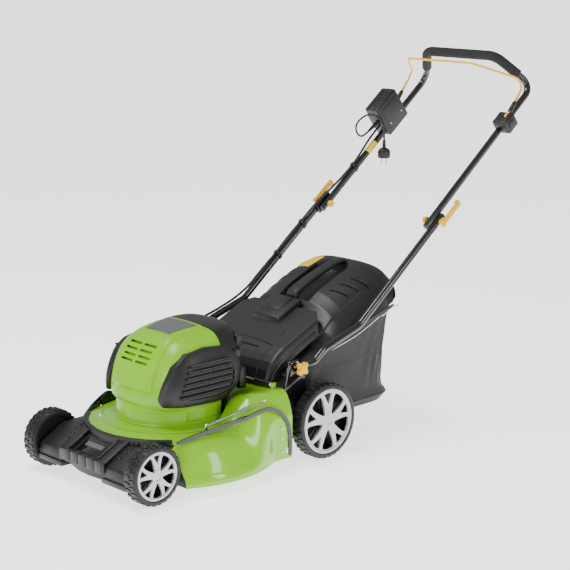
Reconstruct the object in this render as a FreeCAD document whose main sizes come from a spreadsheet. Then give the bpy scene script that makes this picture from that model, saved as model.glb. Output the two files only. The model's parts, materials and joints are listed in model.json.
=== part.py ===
# Corded electric push lawn mower.
# Frame: +Z up, front of the mower towards -Y, +X is the mower's left side, millimetres.
# Pieces are drawn about a point on the ground midway between the two axles; the written parts are moved
# along Y so that their origin is on the ground below the middle of the whole length.
import FreeCAD, Part
import Sketcher
import math
import os
import re
from FreeCAD import Rotation, Vector

os.makedirs("parts", exist_ok=True)
doc = FreeCAD.newDocument("push_mower")

# ---------------------------------------------------------------- driving dimensions
SIZES = {
    # wheels and axles
    "wheelbase": 560,
    "front_radius": 76,
    "rear_radius": 102,
    "front_width": 44,
    "rear_width": 42,
    "front_track": 466,          # over the outer faces of the front wheels
    "rear_track": 520,
    "crank_reach": 46.4,         # pivot to wheel centre, along Y at rest
    "crank_drop": 18.7,          # wheel centre above the pivot at rest
    "axle_radius": 5,
    "rear_axle_radius": 6,
    "run_gap": 0.05,             # radial running clearance
    "crank_thick": 3.5,
    # deck
    "deck_centre_y": -50,
    "deck_radius": 282,
    "deck_rim_z": 27,
    "deck_top_z": 142,
    "deck_wall": 3,
    "motor_hole_radius": 60,
    "chute_front_y": 108,
    "deck_rear_y": 165,
    "chute_half": 240,
    "chute_top_half": 195,
    "chute_top_z": 203,
    "well_half": 184,            # inner side of the front wheel wells
    # motor and blade
    "motor_radius": 82,
    "motor_height": 100,
    "shaft_radius": 8,
    "rotor_radius": 55,
    "blade_tip_gap": 57,         # blade tip to the deck's rim
    "blade_width": 52,
    "blade_thick": 4,
    "blade_z": 42,
    # hood
    "hood_top_z": 374,
    "hood_half": 148,
    "hood_wall": 3,
    "ring_radius": 140,
    # catcher and flap
    "catcher_half": 195,
    "bag_floor_z": 96,
    "bag_wall": 3,
    "lid_wall": 3,
    "flap_half": 172,
    "flap_wall": 4,
    "hinge_y": 150,
    "hinge_z": 212,
    "hinge_rod_radius": 3,
    # handle
    "tube_radius": 10,
    "tube_wall": 1.5,
    "upper_half": 206,
    "lower_half": 230,
    "knob_y": 192,
    "knob_z": 262,
    "clamp_y": 732,
    "clamp_z": 579,
    "grip_radius": 14.5,
    "bail_radius": 3.5,
    "bolt_radius": 4,
    "plate_thick": 4,
    "plate_half": 207,           # inner face of each handle bracket
    "cable_radius": 3.5,
    "lead_radius": 3,
}

sheet = doc.addObject("Spreadsheet::Sheet", "Sizes")
for row, (alias, value) in enumerate(SIZES.items(), start=1):
    sheet.set("A%d" % row, alias.replace("_", " "))
    sheet.set("B%d" % row, str(value))
    sheet.setAlias("B%d" % row, alias)
doc.recompute()


class Numbers:
    """The sheet's values, for the pieces whose shapes are computed."""


size = Numbers()
for alias in SIZES:
    setattr(size, alias, float(sheet.get(alias)))


def cells(text):
    """Prefix each size's name with the sheet's name, as an expression needs."""
    return re.sub(r"[a-z_]+", lambda word: "Sizes." + word.group(0)
                  if word.group(0) in SIZES else word.group(0), str(text))


nodes = {}                       # node name -> document object


def keep(name, obj):
    obj.Label = name
    nodes[name] = obj
    return obj


# ---------------------------------------------------------------- bound building blocks
def bind(obj, **expressions):
    for prop, text in expressions.items():
        obj.setExpression(prop.replace("__", "."), cells(text))
    return obj


def at(obj, x=0, y=0, z=0):
    return bind(obj, Placement__Base__x=x, Placement__Base__y=y, Placement__Base__z=z)


def box(name, x, y, z, length, width, height):
    obj = doc.addObject("Part::Box", name)
    bind(obj, Length=length, Width=width, Height=height)
    return at(obj, x, y, z)


AXIS_TURN = {
    "x": Rotation(Vector(0, 1, 0), 90),
    "y": Rotation(Vector(1, 0, 0), -90),
    "z": Rotation(),
}


def cylinder(name, axis, x, y, z, radius, length):
    """A cylinder that starts at (x, y, z) and runs along +axis."""
    obj = doc.addObject("Part::Cylinder", name)
    obj.Placement.Rotation = AXIS_TURN[axis]
    bind(obj, Radius=radius, Height=length)
    return at(obj, x, y, z)


def cut(name, base, *tools):
    for index, tool in enumerate(tools):
        obj = doc.addObject("Part::Cut", "%s_cut%d" % (name, index))
        obj.Base = base
        obj.Tool = tool
        base = obj
    return base


def fuse(name, *shapes):
    obj = doc.addObject("Part::MultiFuse", name + "_fuse")
    obj.Shapes = list(shapes)
    return obj


def sketch_on(body, role, points, name):
    """A closed polygon on one of the body's own origin planes, each corner placed by two sizes."""
    plane = [item for item in body.Origin.OriginFeatures if item.Role == role][0]
    sketch = body.newObject("Sketcher::SketchObject", name)
    sketch.AttachmentSupport = [(plane, "")]
    sketch.MapMode = "FlatFace"
    count = len(points)
    rough = [Vector(30 + 25 * math.cos(2 * math.pi * i / count),
                    25 * math.sin(2 * math.pi * i / count), 0) for i in range(count)]
    values = [(measure(a), measure(b)) for a, b in points]
    for i in range(count):
        a, b = values[i], values[(i + 1) % count]
        sketch.addGeometry(Part.LineSegment(Vector(a[0], a[1], 0), Vector(b[0], b[1], 0)), False)
    for i in range(count):
        sketch.addConstraint(Sketcher.Constraint("Coincident", i, 2, (i + 1) % count, 1))
    for i, (a, b) in enumerate(points):
        for kind, text, number, line in (("DistanceX", a, values[i][0], -2),
                                         ("DistanceY", b, values[i][1], -1)):
            if abs(number) < 1e-9:
                sketch.addConstraint(Sketcher.Constraint("PointOnObject", i, 1, line))
                continue
            index = sketch.addConstraint(Sketcher.Constraint(kind, -1, 1, i, 1, number))
            if isinstance(text, str):
                sketch.setExpression("Constraints[%d]" % index, cells(text))
    return sketch


probe = doc.addObject("App::FeaturePython", "Probe")
probe.addProperty("App::PropertyFloat", "Value")


def measure(text):
    """The number that an expression over the sheet gives."""
    if not isinstance(text, str):
        return float(text)
    probe.setExpression("Value", cells(text))
    probe.recompute()
    return float(probe.Value)


def padded(name, role, points, length, x=0, y=0, z=0):
    """A polygon on a plane, padded along that plane's normal, then placed."""
    body = doc.addObject("PartDesign::Body", name)
    sketch = sketch_on(body, role, points, name + "_outline")
    pad = body.newObject("PartDesign::Pad", name + "_pad")
    pad.Profile = sketch
    bind(pad, Length=length)
    body.Tip = pad
    return at(body, x, y, z)


def turned(name, axis, points, x=0, y=0, z=0):
    """A profile of (radius, place along the axis) corners, turned once round that axis."""
    body = doc.addObject("PartDesign::Body", name)
    sketch = sketch_on(body, "XZ_Plane", points, name + "_profile")
    turn = body.newObject("PartDesign::Revolution", name + "_turn")
    turn.Profile = sketch
    turn.ReferenceAxis = (sketch, ["V_Axis"])
    turn.Angle = 360
    body.Tip = turn
    body.Placement.Rotation = AXIS_TURN[axis]
    return at(body, x, y, z)


def solid(name, shape):
    """A piece whose shape is computed from the sheet's values."""
    obj = doc.addObject("Part::Feature", name)
    obj.Shape = shape
    return obj


# ---------------------------------------------------------------- computed shapes
def corner_arc(before, corner, after, radius):
    """Tangent points and middle of the arc that rounds a corner of a route."""
    to_before = (before - corner).normalize()
    to_after = (after - corner).normalize()
    half = to_before.getAngle(to_after) / 2
    reach = radius / math.tan(half)
    middle = (to_before + to_after).normalize() * (radius / math.sin(half) - radius)
    return corner + to_before * reach, corner + middle, corner + to_after * reach


def route_wire(points, radii):
    """Straight runs joined by tangent arcs, one radius for each inner point."""
    edges = []
    start = points[0]
    for i in range(1, len(points) - 1):
        first, middle, last = corner_arc(points[i - 1], points[i], points[i + 1], radii[i - 1])
        edges.append(Part.makeLine(start, first))
        edges.append(Part.Arc(first, middle, last).toShape())
        start = last
    edges.append(Part.makeLine(start, points[-1]))
    return Part.Wire(edges)


def rod_along(points, radii, radius):
    wire = route_wire(points, radii)
    ring = Part.Wire(Part.makeCircle(radius, points[0], points[1] - points[0]))
    return wire.makePipeShell([ring], True, False, 2), wire


def tube_along(points, radii, radius, wall):
    outer, wire = rod_along(points, radii, radius)
    inner, wire = rod_along(points, radii, radius - wall)
    return outer.cut(inner)


def mirrored_x(shape):
    return shape.mirror(Vector(0, 0, 0), Vector(1, 0, 0))


def both_sides(points):
    """A route given from the centre outwards, completed by its mirror image."""
    return [Vector(-p.x, p.y, p.z) for p in reversed(points)] + list(points)


def prism_x(outline, low, high):
    """A (y, z) outline drawn out along X."""
    wire = Part.makePolygon([Vector(low, y, z) for y, z in outline + outline[:1]])
    return Part.Face(wire).extrude(Vector(high - low, 0, 0))


def rounded_section(half, front, rear, height, corner):
    """A level rectangle with round corners, from y = front to y = rear."""
    xs, ys = (-half, half), (front, rear)
    points = [Vector(xs[0], ys[0], height), Vector(xs[1], ys[0], height),
              Vector(xs[1], ys[1], height), Vector(xs[0], ys[1], height)]
    edges = []
    for i in range(4):
        before, here, after = points[i - 1], points[i], points[(i + 1) % 4]
        first, middle, last = corner_arc(before, here, after, corner)
        edges.append((first, middle, last))
    wire = []
    for i in range(4):
        first, middle, last = edges[i]
        wire.append(Part.Arc(first, middle, last).toShape())
        wire.append(Part.makeLine(last, edges[(i + 1) % 4][0]))
    return Part.Wire(wire)


# ---------------------------------------------------------------- deck
# Radius and height of the pressed dome, from the motor opening out to the rim.
dome_outer = [
    ("motor_hole_radius", "deck_top_z"), ("deck_radius - 114", "deck_top_z"),
    ("deck_radius - 74", "deck_top_z - 12"), ("deck_radius - 48", "deck_top_z - 34"),
    ("deck_radius - 20", "deck_top_z - 86"), ("deck_radius", "deck_rim_z + 4"),
    ("deck_radius", "deck_rim_z"),
]
dome_inner = [
    ("deck_radius - deck_wall", "deck_rim_z"),
    ("deck_radius - 20 - deck_wall", "deck_top_z - 87"),
    ("deck_radius - 49 - deck_wall", "deck_top_z - 35"),
    ("deck_radius - 75", "deck_top_z - 12 - deck_wall"),
    ("deck_radius - 115", "deck_top_z - deck_wall"),
    ("motor_hole_radius", "deck_top_z - deck_wall"),
]


def dome(name, corners):
    return turned(name, "z", corners, y="deck_centre_y")


dome_shell = dome("dome_shell", dome_outer + dome_inner)
# The whole bulk under the dome, for what rests on it.
dome_bulk = dome("dome_bulk", [(0, "deck_top_z")] + dome_outer[1:] + [(0, "deck_rim_z")])

well_left = box("well_left", "well_half", "-wheelbase", 0, 200, "wheelbase - 196", 200)
well_right = box("well_right", "-well_half - 200", "-wheelbase", 0, 200, "wheelbase - 196", 200)
rear_space = box("rear_space", -400, "deck_rear_y", 0, 800, 400, 400)
chute_space = box("chute_space", "deck_wall - chute_half", "chute_front_y", 0,
                  "2 * (chute_half - deck_wall)", 400, 400)
dome_part = cut("dome", dome_shell, well_left, well_right, rear_space, chute_space)
# Upright walls close the dome along the inner side and the back of each front wheel well.
well_walls = []
for side, sign in (("left", 1), ("right", -1)):
    low = "well_half - deck_wall" if sign > 0 else "-well_half - 200"
    block = box("well_block_" + side, low, "-wheelbase", 0, "200 + deck_wall", "wheelbase - 196 + deck_wall", 200)
    walls = doc.addObject("Part::Common", "well_walls_" + side)
    walls.Base = cut("well_l_" + side, block, well_left if sign > 0 else well_right)
    walls.Tool = dome_bulk
    well_walls.append(walls)


def chute_section(inset, name):
    """The chute's cross-section, drawn in XZ and padded towards -Y from the deck's rear edge."""
    side = "chute_half - %g" % inset
    top = "chute_top_z - %g" % inset
    half = [(side, "deck_rim_z"), (side, "deck_top_z - 2"), ("chute_half - 18 - %g" % inset, "%s - 23" % top),
            ("chute_top_half", top)]
    outline = half + [("-(%s)" % a, b) for a, b in reversed(half)]
    length = "deck_rear_y - chute_front_y" if inset == 0 else "deck_rear_y - chute_front_y - deck_wall"
    return padded(name, "XZ_Plane", outline, length, y="deck_rear_y")


chute = cut("chute", chute_section(0, "chute_outer"), chute_section(3, "chute_inner"))
# The grass goes through the front wall of the chute under the dome.
chute_window = box("chute_window", "-chute_half + 45", "chute_front_y - 5", "deck_rim_z - 5",
                   "2 * chute_half - 90", 20, "deck_top_z - deck_rim_z - 12")
end_panel = box("end_panel", "-chute_half + 2", "deck_rear_y - deck_wall", 60, "2 * chute_half - 4",
                "deck_wall", 95)
end_mouth = box("end_mouth", "-catcher_half + 8", "deck_rear_y - 10", 50, "2 * catcher_half - 16", 20, 130)
lug_pads = [box("lug_pad%d" % i, x, "hinge_y - 8", "chute_top_z - 4", 5, 16, "hinge_z - chute_top_z + 10")
            for i, x in enumerate(("flap_half + 9", "-flap_half - 14"))]
rod_bore = cylinder("rod_bore", "x", -250, "hinge_y", "hinge_z", "hinge_rod_radius", 500)
slots = [box("slot%d" % i, "%s * chute_half - 10" % s, "deck_rear_y - 26", z, 20, 9, 14)
         for i, (s, z) in enumerate(((1, 96), (1, 66), (-1, 96), (-1, 66)))]
# The rear plate closes the deck beside the catcher's mouth and carries the handle brackets.
rear_plate = cut("rear_plate", end_panel, end_mouth)
chute_open = cut("chute_open", chute, chute_window)
deck_all = fuse("deck", dome_part, chute_open, rear_plate, *well_walls, *lug_pads)
keep("deck_shell", cut("deck_bored", deck_all, rod_bore, *slots))

# Rivets stand on the flanges, in front of the slots.
rivets = []
for i, side in enumerate((1, -1)):
    for j, z in enumerate((112, 84, 48)):
        x = "chute_half" if side > 0 else "-chute_half - 2"
        rivets.append(cylinder("rivet%d%d" % (i, j), "x", x, "deck_rear_y - 38", z, 4, 2))
rivet_group = doc.addObject("Part::Compound", "rivet_group")
rivet_group.Links = rivets
keep("deck_rivets", rivet_group)

# A black edging follows the rear edge of each flange and curls forward over its top.
edging_outline = [
    (40, 184), (88, 188), (132, 166), (160, 122), (165, 30), (146, 30), (143, 114), (120, 146),
    (84, 166), (40, 163),
]
for side, x in (("left", "chute_half + 0.2"), ("right", "-chute_half - 3.7")):
    keep("edging_" + side, padded("edging_" + side, "YZ_Plane",
                                  [("deck_rear_y - 165 + %g" % y, z) for y, z in edging_outline], 3.5, x=x))

# ---------------------------------------------------------------- front frame
# A hollow moulding over the front of the dome, with a bumper bar and a box beside each front wheel.
frame_front = "-wheelbase / 2 - 62"
centre_block = padded("centre_block", "YZ_Plane", [
    (frame_front, 57), (frame_front, 90), ("%s + 17" % frame_front, 90), ("deck_centre_y - 175", 130),
    ("deck_centre_y - 150", 130), ("deck_centre_y - 150", 57)], 190, x=-95)
side_block = padded("side_block", "YZ_Plane", [
    (frame_front, 38), (frame_front, 84), ("-wheelbase / 2 + 8", 118), ("deck_centre_y - 120", 124),
    ("deck_centre_y - 120", 60), ("-wheelbase / 2", 38)], "2 * well_half - 2", x="-well_half + 1")
side_gap = box("side_gap", -85, -420, 0, 170, 400, 200)
badge_recess = padded("badge_recess", "YZ_Plane", [
    ("%s + 17" % frame_front, 84), ("deck_centre_y - 178", 122), ("deck_centre_y - 178", 200),
    ("%s + 17" % frame_front, 200)], 124, x=-62)
underside = box("underside", "-well_half + 5", "%s + 5" % frame_front, 0, "2 * well_half - 10", 250, 52)
frame_body = cut("frame_a", fuse("frame", centre_block, cut("side_blocks", side_block, side_gap)),
                 badge_recess)
frame_clear = dome("frame_clear", [(0, "deck_top_z + 60"), ("deck_radius - 70", "deck_top_z + 60")]
                   + [("%s + 0.4" % a, "%s + 0.4" % b) for a, b in dome_outer[2:]] + [(0, "deck_rim_z")])
front_bore = cylinder("front_bore", "x", -300, "-wheelbase / 2 - crank_reach",
                      "front_radius - crank_drop", "axle_radius + run_gap", 600)
box_hollows = [box("box_hollow%d" % i, x, "%s + 6" % frame_front, 0, 84, 118, 52)
               for i, x in enumerate((94, -178))]
keep("front_frame", cut("frame_b", frame_body, frame_clear, front_bore, *box_hollows))

# ---------------------------------------------------------------- hood
hood_levels = [(190, 138, -184, 86, 60), (216, 147, -178, 106, 58), (250, 148, -168, 116, 54),
               (300, 136, -150, 118, 50), (340, 116, -128, 112, 46), (362, 98, -112, 100, 42),
               (372, 84, -100, 88, 38)]


def hood_loft(inset):
    """The hood's outer form, or the same form set in by a wall."""
    sections = []
    for z, half, front, rear, corner in hood_levels:
        top_drop = inset if z == hood_levels[-1][0] else 0
        lift = -1 if (z == hood_levels[0][0] and inset > 0) else 0
        half_here = half * size.hood_half / 148
        sections.append(rounded_section(half_here - inset, front + inset, rear - inset,
                                        z + lift - top_drop + size.hood_top_z - 374, corner - inset / 2))
    return Part.makeLoft(sections, True, True)


hood_outer = hood_loft(0)
hood_inner = hood_loft(size.hood_wall)
ring_base = Vector(0, size.deck_centre_y, size.deck_top_z)
ring_rise = 190 - size.deck_top_z + size.hood_top_z - 374
ring_outer = Part.makeCylinder(size.ring_radius, ring_rise, ring_base)
ring_inner = Part.makeCylinder(size.ring_radius - size.hood_wall, ring_rise + 4, ring_base)
hood_whole = hood_outer.fuse(ring_outer).cut(hood_inner).cut(ring_inner).removeSplitter()
seam_y = 30
seam_gap = 0.4
front_space = Part.makeBox(500, 400, 500, Vector(-250, seam_y - 400, 0))
rear_half_space = Part.makeBox(500, 400, 500, Vector(-250, seam_y + seam_gap, 0))
hood_front = hood_whole.common(front_space)
for row in range(4):
    for x in (-47, 3):
        slot = Part.makeBox(44, 60, 5, Vector(x, -180, 296 + 10 * row))
        hood_front = hood_front.cut(slot)
keep("hood_front", solid("hood_front", hood_front))
keep("hood_rear", solid("hood_rear", hood_whole.common(rear_half_space)))

# A louvred cover lies on each flank of the hood.
cover_outline = [(-150, 212), (-134, 200), (18, 204), (50, 232), (56, 292), (36, 326), (-52, 334), (-84, 318)]
cover_skin = hood_loft(-0.3)
cover_outer = 161
cover_block = prism_x(cover_outline, 90, cover_outer)
for row in range(6):
    z = 222 + 16 * row
    cover_block = cover_block.cut(Part.makeBox(10, 110 - 4 * row, 7, Vector(cover_outer - 5, -84 + 5 * row, z)))
cover_left = cover_block.cut(cover_skin)
keep("hood_cover_left", solid("hood_cover_left", cover_left))
keep("hood_cover_right", solid("hood_cover_right", mirrored_x(cover_left)))

# ---------------------------------------------------------------- motor, blade
motor_profile = [
    ("shaft_radius + run_gap", "deck_top_z"), ("motor_radius", "deck_top_z"),
    ("motor_radius", "deck_top_z + motor_height"), ("shaft_radius + run_gap", "deck_top_z + motor_height"),
    ("shaft_radius + run_gap", "deck_top_z + motor_height - 10"),
    ("rotor_radius + 1.5", "deck_top_z + motor_height - 10"),
    ("rotor_radius + 1.5", "deck_top_z + 10"), ("shaft_radius + run_gap", "deck_top_z + 10"),
]
keep("motor_can", turned("motor_can", "z", motor_profile, y="deck_centre_y"))
keep("motor_shaft", cylinder("motor_shaft", "z", 0, "deck_centre_y", "blade_z", "shaft_radius",
                             "deck_top_z + motor_height + 30 - blade_z"))
keep("motor_rotor", turned("motor_rotor", "z", [
    ("shaft_radius", "deck_top_z + 15"), ("rotor_radius", "deck_top_z + 15"),
    ("rotor_radius", "deck_top_z + motor_height - 15"), ("shaft_radius", "deck_top_z + motor_height - 15"),
], y="deck_centre_y"))
fan_hub = turned("fan_hub", "z", [
    ("shaft_radius", "deck_top_z + motor_height + 8"), (70, "deck_top_z + motor_height + 8"),
    (70, "deck_top_z + motor_height + 11"), (20, "deck_top_z + motor_height + 11"),
    (20, "deck_top_z + motor_height + 26"), ("shaft_radius", "deck_top_z + motor_height + 26"),
], y="deck_centre_y")
fan_blades = []
for i in range(8):
    vane = box("vane%d" % i, 0, 0, "deck_top_z + motor_height + 10", 50, 3, 14)
    angle = i * 45
    vane.Placement.Rotation = Rotation(Vector(0, 0, 1), angle)
    at(vane, 18.5 * math.cos(math.radians(angle)),
       "deck_centre_y + %g" % (18.5 * math.sin(math.radians(angle))), "deck_top_z + motor_height + 10")
    fan_blades.append(vane)
keep("cooling_fan", fuse("cooling_fan", fan_hub, *fan_blades))
keep("blade_adapter", turned("blade_adapter", "z", [
    ("shaft_radius", "blade_z + blade_thick"), (26, "blade_z + blade_thick"),
    (26, "blade_z + blade_thick + 8"), (16, "blade_z + blade_thick + 26"),
    ("shaft_radius", "blade_z + blade_thick + 26"),
], y="deck_centre_y"))
blade_bar = box("blade_bar", "blade_tip_gap - deck_radius", "deck_centre_y - blade_width / 2", "blade_z",
                "2 * (deck_radius - blade_tip_gap)", "blade_width", "blade_thick")
blade_eye = cylinder("blade_eye", "z", 0, "deck_centre_y", "blade_z - 5", "shaft_radius", 20)
keep("blade", cut("blade", blade_bar, blade_eye))
keep("blade_bolt", cylinder("blade_bolt", "z", 0, "deck_centre_y", "blade_z - 9", 13, 9))

# ---------------------------------------------------------------- wheels and axles
def wheel_profile(radius, width, axle):
    """Half-section of a black wheel: hub, web and tyre in one; height 0 is its inner face."""
    return [
        ("%s + run_gap" % axle, 4), (15, 4), (15, 6), ("%s - 16" % radius, 6), ("%s - 16" % radius, 0),
        ("%s - 4" % radius, 0), (radius, 5), (radius, "%s - 5" % width), ("%s - 4" % radius, width),
        ("%s - 12" % radius, width), ("%s - 14" % radius, "%s - 12" % width), ("%s - 16" % radius, 11),
        (15, 11), (15, "%s - 12" % width), ("%s + run_gap" % axle, "%s - 12" % width),
    ]


def trim_shape(radius, width, axle, spokes=5):
    """A silver five-spoke dish that clips into a wheel's outer side."""
    back = width - 11.8
    face = width - 2
    ring = Part.makeCylinder(radius - 14.3, 6, Vector(0, 0, face - 6))
    ring = ring.cut(Part.makeCylinder(radius - 22, 6, Vector(0, 0, face - 6)))
    hub = Part.makeCylinder(14, face - back, Vector(0, 0, back))
    hub = hub.cut(Part.makeCylinder(axle + 0.3, width - 6 - back, Vector(0, 0, back)))
    for i in range(spokes):
        for lean in (-1, 1):
            spoke = Part.makeBox(radius - 28, 7, 5, Vector(10, -3.5 + 3 * lean, face - 6))
            spoke.rotate(Vector(0, 0, 0), Vector(0, 0, 1), 360 / spokes * i + 9 * lean + 90)
            hub = hub.fuse(spoke)
    return ring.fuse(hub).removeSplitter()


for end, axle in (("front", "axle_radius"), ("rear", "rear_axle_radius")):
    y = "wheelbase / 2" if end == "rear" else "-wheelbase / 2"
    radius, width, track = end + "_radius", end + "_width", end + "_track"
    pivot_y = "%s - crank_reach" % y
    pivot_z = "%s - crank_drop" % radius
    inner = "%s / 2 - %s" % (track, width)
    stub = "axle_radius"
    # One bent axle: a long bar in its bores, a crank plate at each end and a stub for each wheel.
    bar = cylinder(end + "_bar", "x", "-(%s) + 1.2" % inner, pivot_y, pivot_z, axle, "2 * (%s) - 2.4" % inner)
    cranks = []
    for side, sign in (("left", 1), ("right", -1)):
        start = "%s - 1.2 - crank_thick" % inner if sign > 0 else "-(%s) + 1.2" % inner
        reach = math.hypot(size.crank_reach, size.crank_drop)
        plate = box("%s_crank_%s" % (end, side), start, pivot_y, pivot_z, "crank_thick", reach, 18)
        lean = math.degrees(math.atan2(size.crank_drop, size.crank_reach))
        plate.Placement.Rotation = Rotation(Vector(1, 0, 0), lean)
        at(plate, start, "%s + 9 * %g" % (pivot_y, math.sin(math.radians(lean))),
           "%s - 9 * %g" % (pivot_z, math.cos(math.radians(lean))))
        for tag, cy, cz in (("a", pivot_y, pivot_z), ("b", y, radius)):
            cranks.append(cylinder("%s_boss_%s_%s" % (end, side, tag), "x", start, cy, cz, 9, "crank_thick"))
        reach_out = "%s - 10 + 1.2 + crank_thick" % width
        stub_start = start if sign > 0 else "-(%s) - %s + 10" % (inner, width)
        cranks.append(plate)
        cranks.append(cylinder("%s_stub_%s" % (end, side), "x", stub_start, y, radius, stub, reach_out))
    keep(end + "_axle", fuse(end + "_axle", bar, *cranks))
    profile = wheel_profile(radius, width, stub)
    dish = trim_shape(getattr(size, radius), getattr(size, width), size.axle_radius)
    for side, sign in (("left", 1), ("right", -1)):
        wheel = turned("%s_wheel_%s" % (end, side), "x", profile, y=y, z=radius, x="%d * (%s)" % (sign, inner))
        trim = solid("%s_trim_%s" % (end, side), dish)
        turn = Rotation(Vector(0, 1, 0), 90 * sign)
        for piece in (wheel, trim):
            piece.Placement.Rotation = turn
        at(trim, "%d * (%s)" % (sign, inner), y, radius)
        keep("%s_wheel_%s" % (end, side), wheel)
        keep("%s_trim_%s" % (end, side), trim)

# ---------------------------------------------------------------- height adjustment
lever_y, lever_z = -92, 146
quadrant_block = padded("quadrant_block", "YZ_Plane", [
    (lever_y - 26, 100), (lever_y - 30, 150), (lever_y - 8, 166), (lever_y + 22, 160), (lever_y + 26, 100)],
    4, x=-204)
dome_clear = dome("dome_clear", [(0, "deck_top_z")] + dome_outer[1:] + [(0, "deck_rim_z")])
pivot_bore = cylinder("pivot_bore", "x", -230, lever_y, lever_z, 4.05, 60)
keep("height_quadrant", cut("height_quadrant", quadrant_block, dome_clear, pivot_bore))
lever_arm = padded("lever_arm", "YZ_Plane", [
    (lever_y + 10, lever_z + 8), (lever_y + 10, lever_z - 8), (lever_y - 12, lever_z - 10),
    (-158, 114), (-172, 104), (-176, 112), (-160, 126), (lever_y - 10, lever_z + 8)], 5, x=-210)
lever_pin = cylinder("lever_pin", "x", -214, lever_y, lever_z, 4, 16)
lever_head = cylinder("lever_head", "x", -214, lever_y, lever_z, 7, 4)
keep("height_lever", fuse("height_lever", lever_arm, lever_pin, lever_head))

# The flat link bar runs up along the deck's left shoulder and slides along its own length.
link_start = Vector(188, -190, 127)
link_end = Vector(231, 34, 166.4)
link_run = link_end - link_start
link_side = Vector(link_run.y, -link_run.x, 0).normalize() * 1.5
link_up = Vector(0, 0, 11)
link_ring = Part.makePolygon([link_start + link_side + link_up, link_start - link_side + link_up,
                              link_start - link_side - link_up, link_start + link_side - link_up,
                              link_start + link_side + link_up])
keep("height_link", solid("height_link", Part.Face(link_ring).extrude(link_run)))
spring_start = Vector(198, -92, 158)
spring_end = Vector(216, 84, 187)
spring_run = spring_end - spring_start
keep("link_spring", solid("link_spring", Part.makeCylinder(4.5, spring_run.Length, spring_start, spring_run)))

# ---------------------------------------------------------------- rear flap
flap_top = [(0, 5), (10, 36), (57, 79), (216, 151)]
flap_low = [(222, 112), (75, 42), (35, -4), (0, -4)]


def from_hinge(points, dy=0, dz=0):
    return [(size.hinge_y + y + dy, size.hinge_z + z + dz) for y, z in points]


flap_outer = prism_x(from_hinge(flap_top) + from_hinge(flap_low), -size.flap_half, size.flap_half)
flap_under = prism_x(from_hinge([(4, -2), (14, 34), (60, 75), (230, 152)]) +
                     from_hinge([(230, 60), (-20, -60), (-20, -6)]),
                     -size.flap_half + size.flap_wall, size.flap_half - size.flap_wall)
flap_grip = prism_x(from_hinge([(150, 118), (140, 128), (205, 172), (216, 170), (216, 148)]), -55, 55)
flap = flap_outer.cut(flap_under).fuse(flap_grip)
hinge_at = Vector(-size.flap_half, size.hinge_y, size.hinge_z)
barrel = Part.makeCylinder(6.5, 2 * size.flap_half, hinge_at, Vector(1, 0, 0))
gap_bar = Part.makeBox(2 * size.flap_half - 120, 30, 30, hinge_at + Vector(60, -20, -15))
rod_hole = Part.makeCylinder(size.hinge_rod_radius + size.run_gap, 600,
                             hinge_at + Vector(-100, 0, 0), Vector(1, 0, 0))
flap = flap.fuse(barrel.cut(gap_bar)).cut(rod_hole).removeSplitter()
keep("rear_flap", solid("rear_flap", flap))
keep("flap_hinge_rod", cylinder("flap_hinge_rod", "x", "-flap_half - 16", "hinge_y", "hinge_z",
                                "hinge_rod_radius", "2 * flap_half + 32"))
flap_coils = []
for i, x in enumerate(("flap_half + 1", "-flap_half - 8")):
    coil = turned("flap_coil%d" % i, "x", [
        ("hinge_rod_radius + 0.3", 0), ("hinge_rod_radius + 3", 0), ("hinge_rod_radius + 3", 7),
        ("hinge_rod_radius + 0.3", 7)], x=x, y="hinge_y", z="hinge_z")
    flap_coils.append(coil)
coil_pair = doc.addObject("Part::Compound", "coil_pair")
coil_pair.Links = flap_coils
keep("flap_springs", coil_pair)

# ---------------------------------------------------------------- catcher
bag_side = [(182, 96), (300, 92), (450, 92), (600, 108), (628, 372), (432, 312), (262, 251), (182, 224)]
floor_shift = size.bag_floor_z - 96
bag_outline = [(y, z + (floor_shift if z < 200 else 0)) for y, z in bag_side]
bag_inner = [(170, 99), (300, 95), (449, 95), (597, 111), (624.5, 390), (432, 390), (262, 390), (170, 330)]
bag_inner = [(y, z + (floor_shift if z < 200 else 0)) for y, z in bag_inner]
bag = prism_x(bag_outline, -size.catcher_half, size.catcher_half)
bag = bag.cut(prism_x(bag_inner, -size.catcher_half + size.bag_wall, size.catcher_half - size.bag_wall))
keep("catcher_bag", solid("catcher_bag", bag))

# Stations of the hard lid: y, height of its side edges, height of its crown.
lid_stations = [(226, 241, 262), (300, 266, 305), (368, 291, 343), (376, 294, 372), (432, 313, 402),
                (520, 340, 438), (600, 365, 462), (632, 376, 446)]


def arch(y, edge, crown, half, drop):
    """A closed arch across the mower: a flat foot and a crowned top."""
    foot_left = Vector(-half, y, edge - drop)
    foot_right = Vector(half, y, edge - drop)
    rise = crown - edge
    shoulder_left = Vector(-half, y, edge + 0.25 * rise)
    shoulder_right = Vector(half, y, edge + 0.25 * rise)
    top = Part.Arc(shoulder_right, Vector(0, y, crown), shoulder_left).toShape()
    return Part.Wire([Part.makeLine(foot_left, foot_right), Part.makeLine(foot_right, shoulder_right), top,
                      Part.makeLine(shoulder_left, foot_left)])


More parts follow.
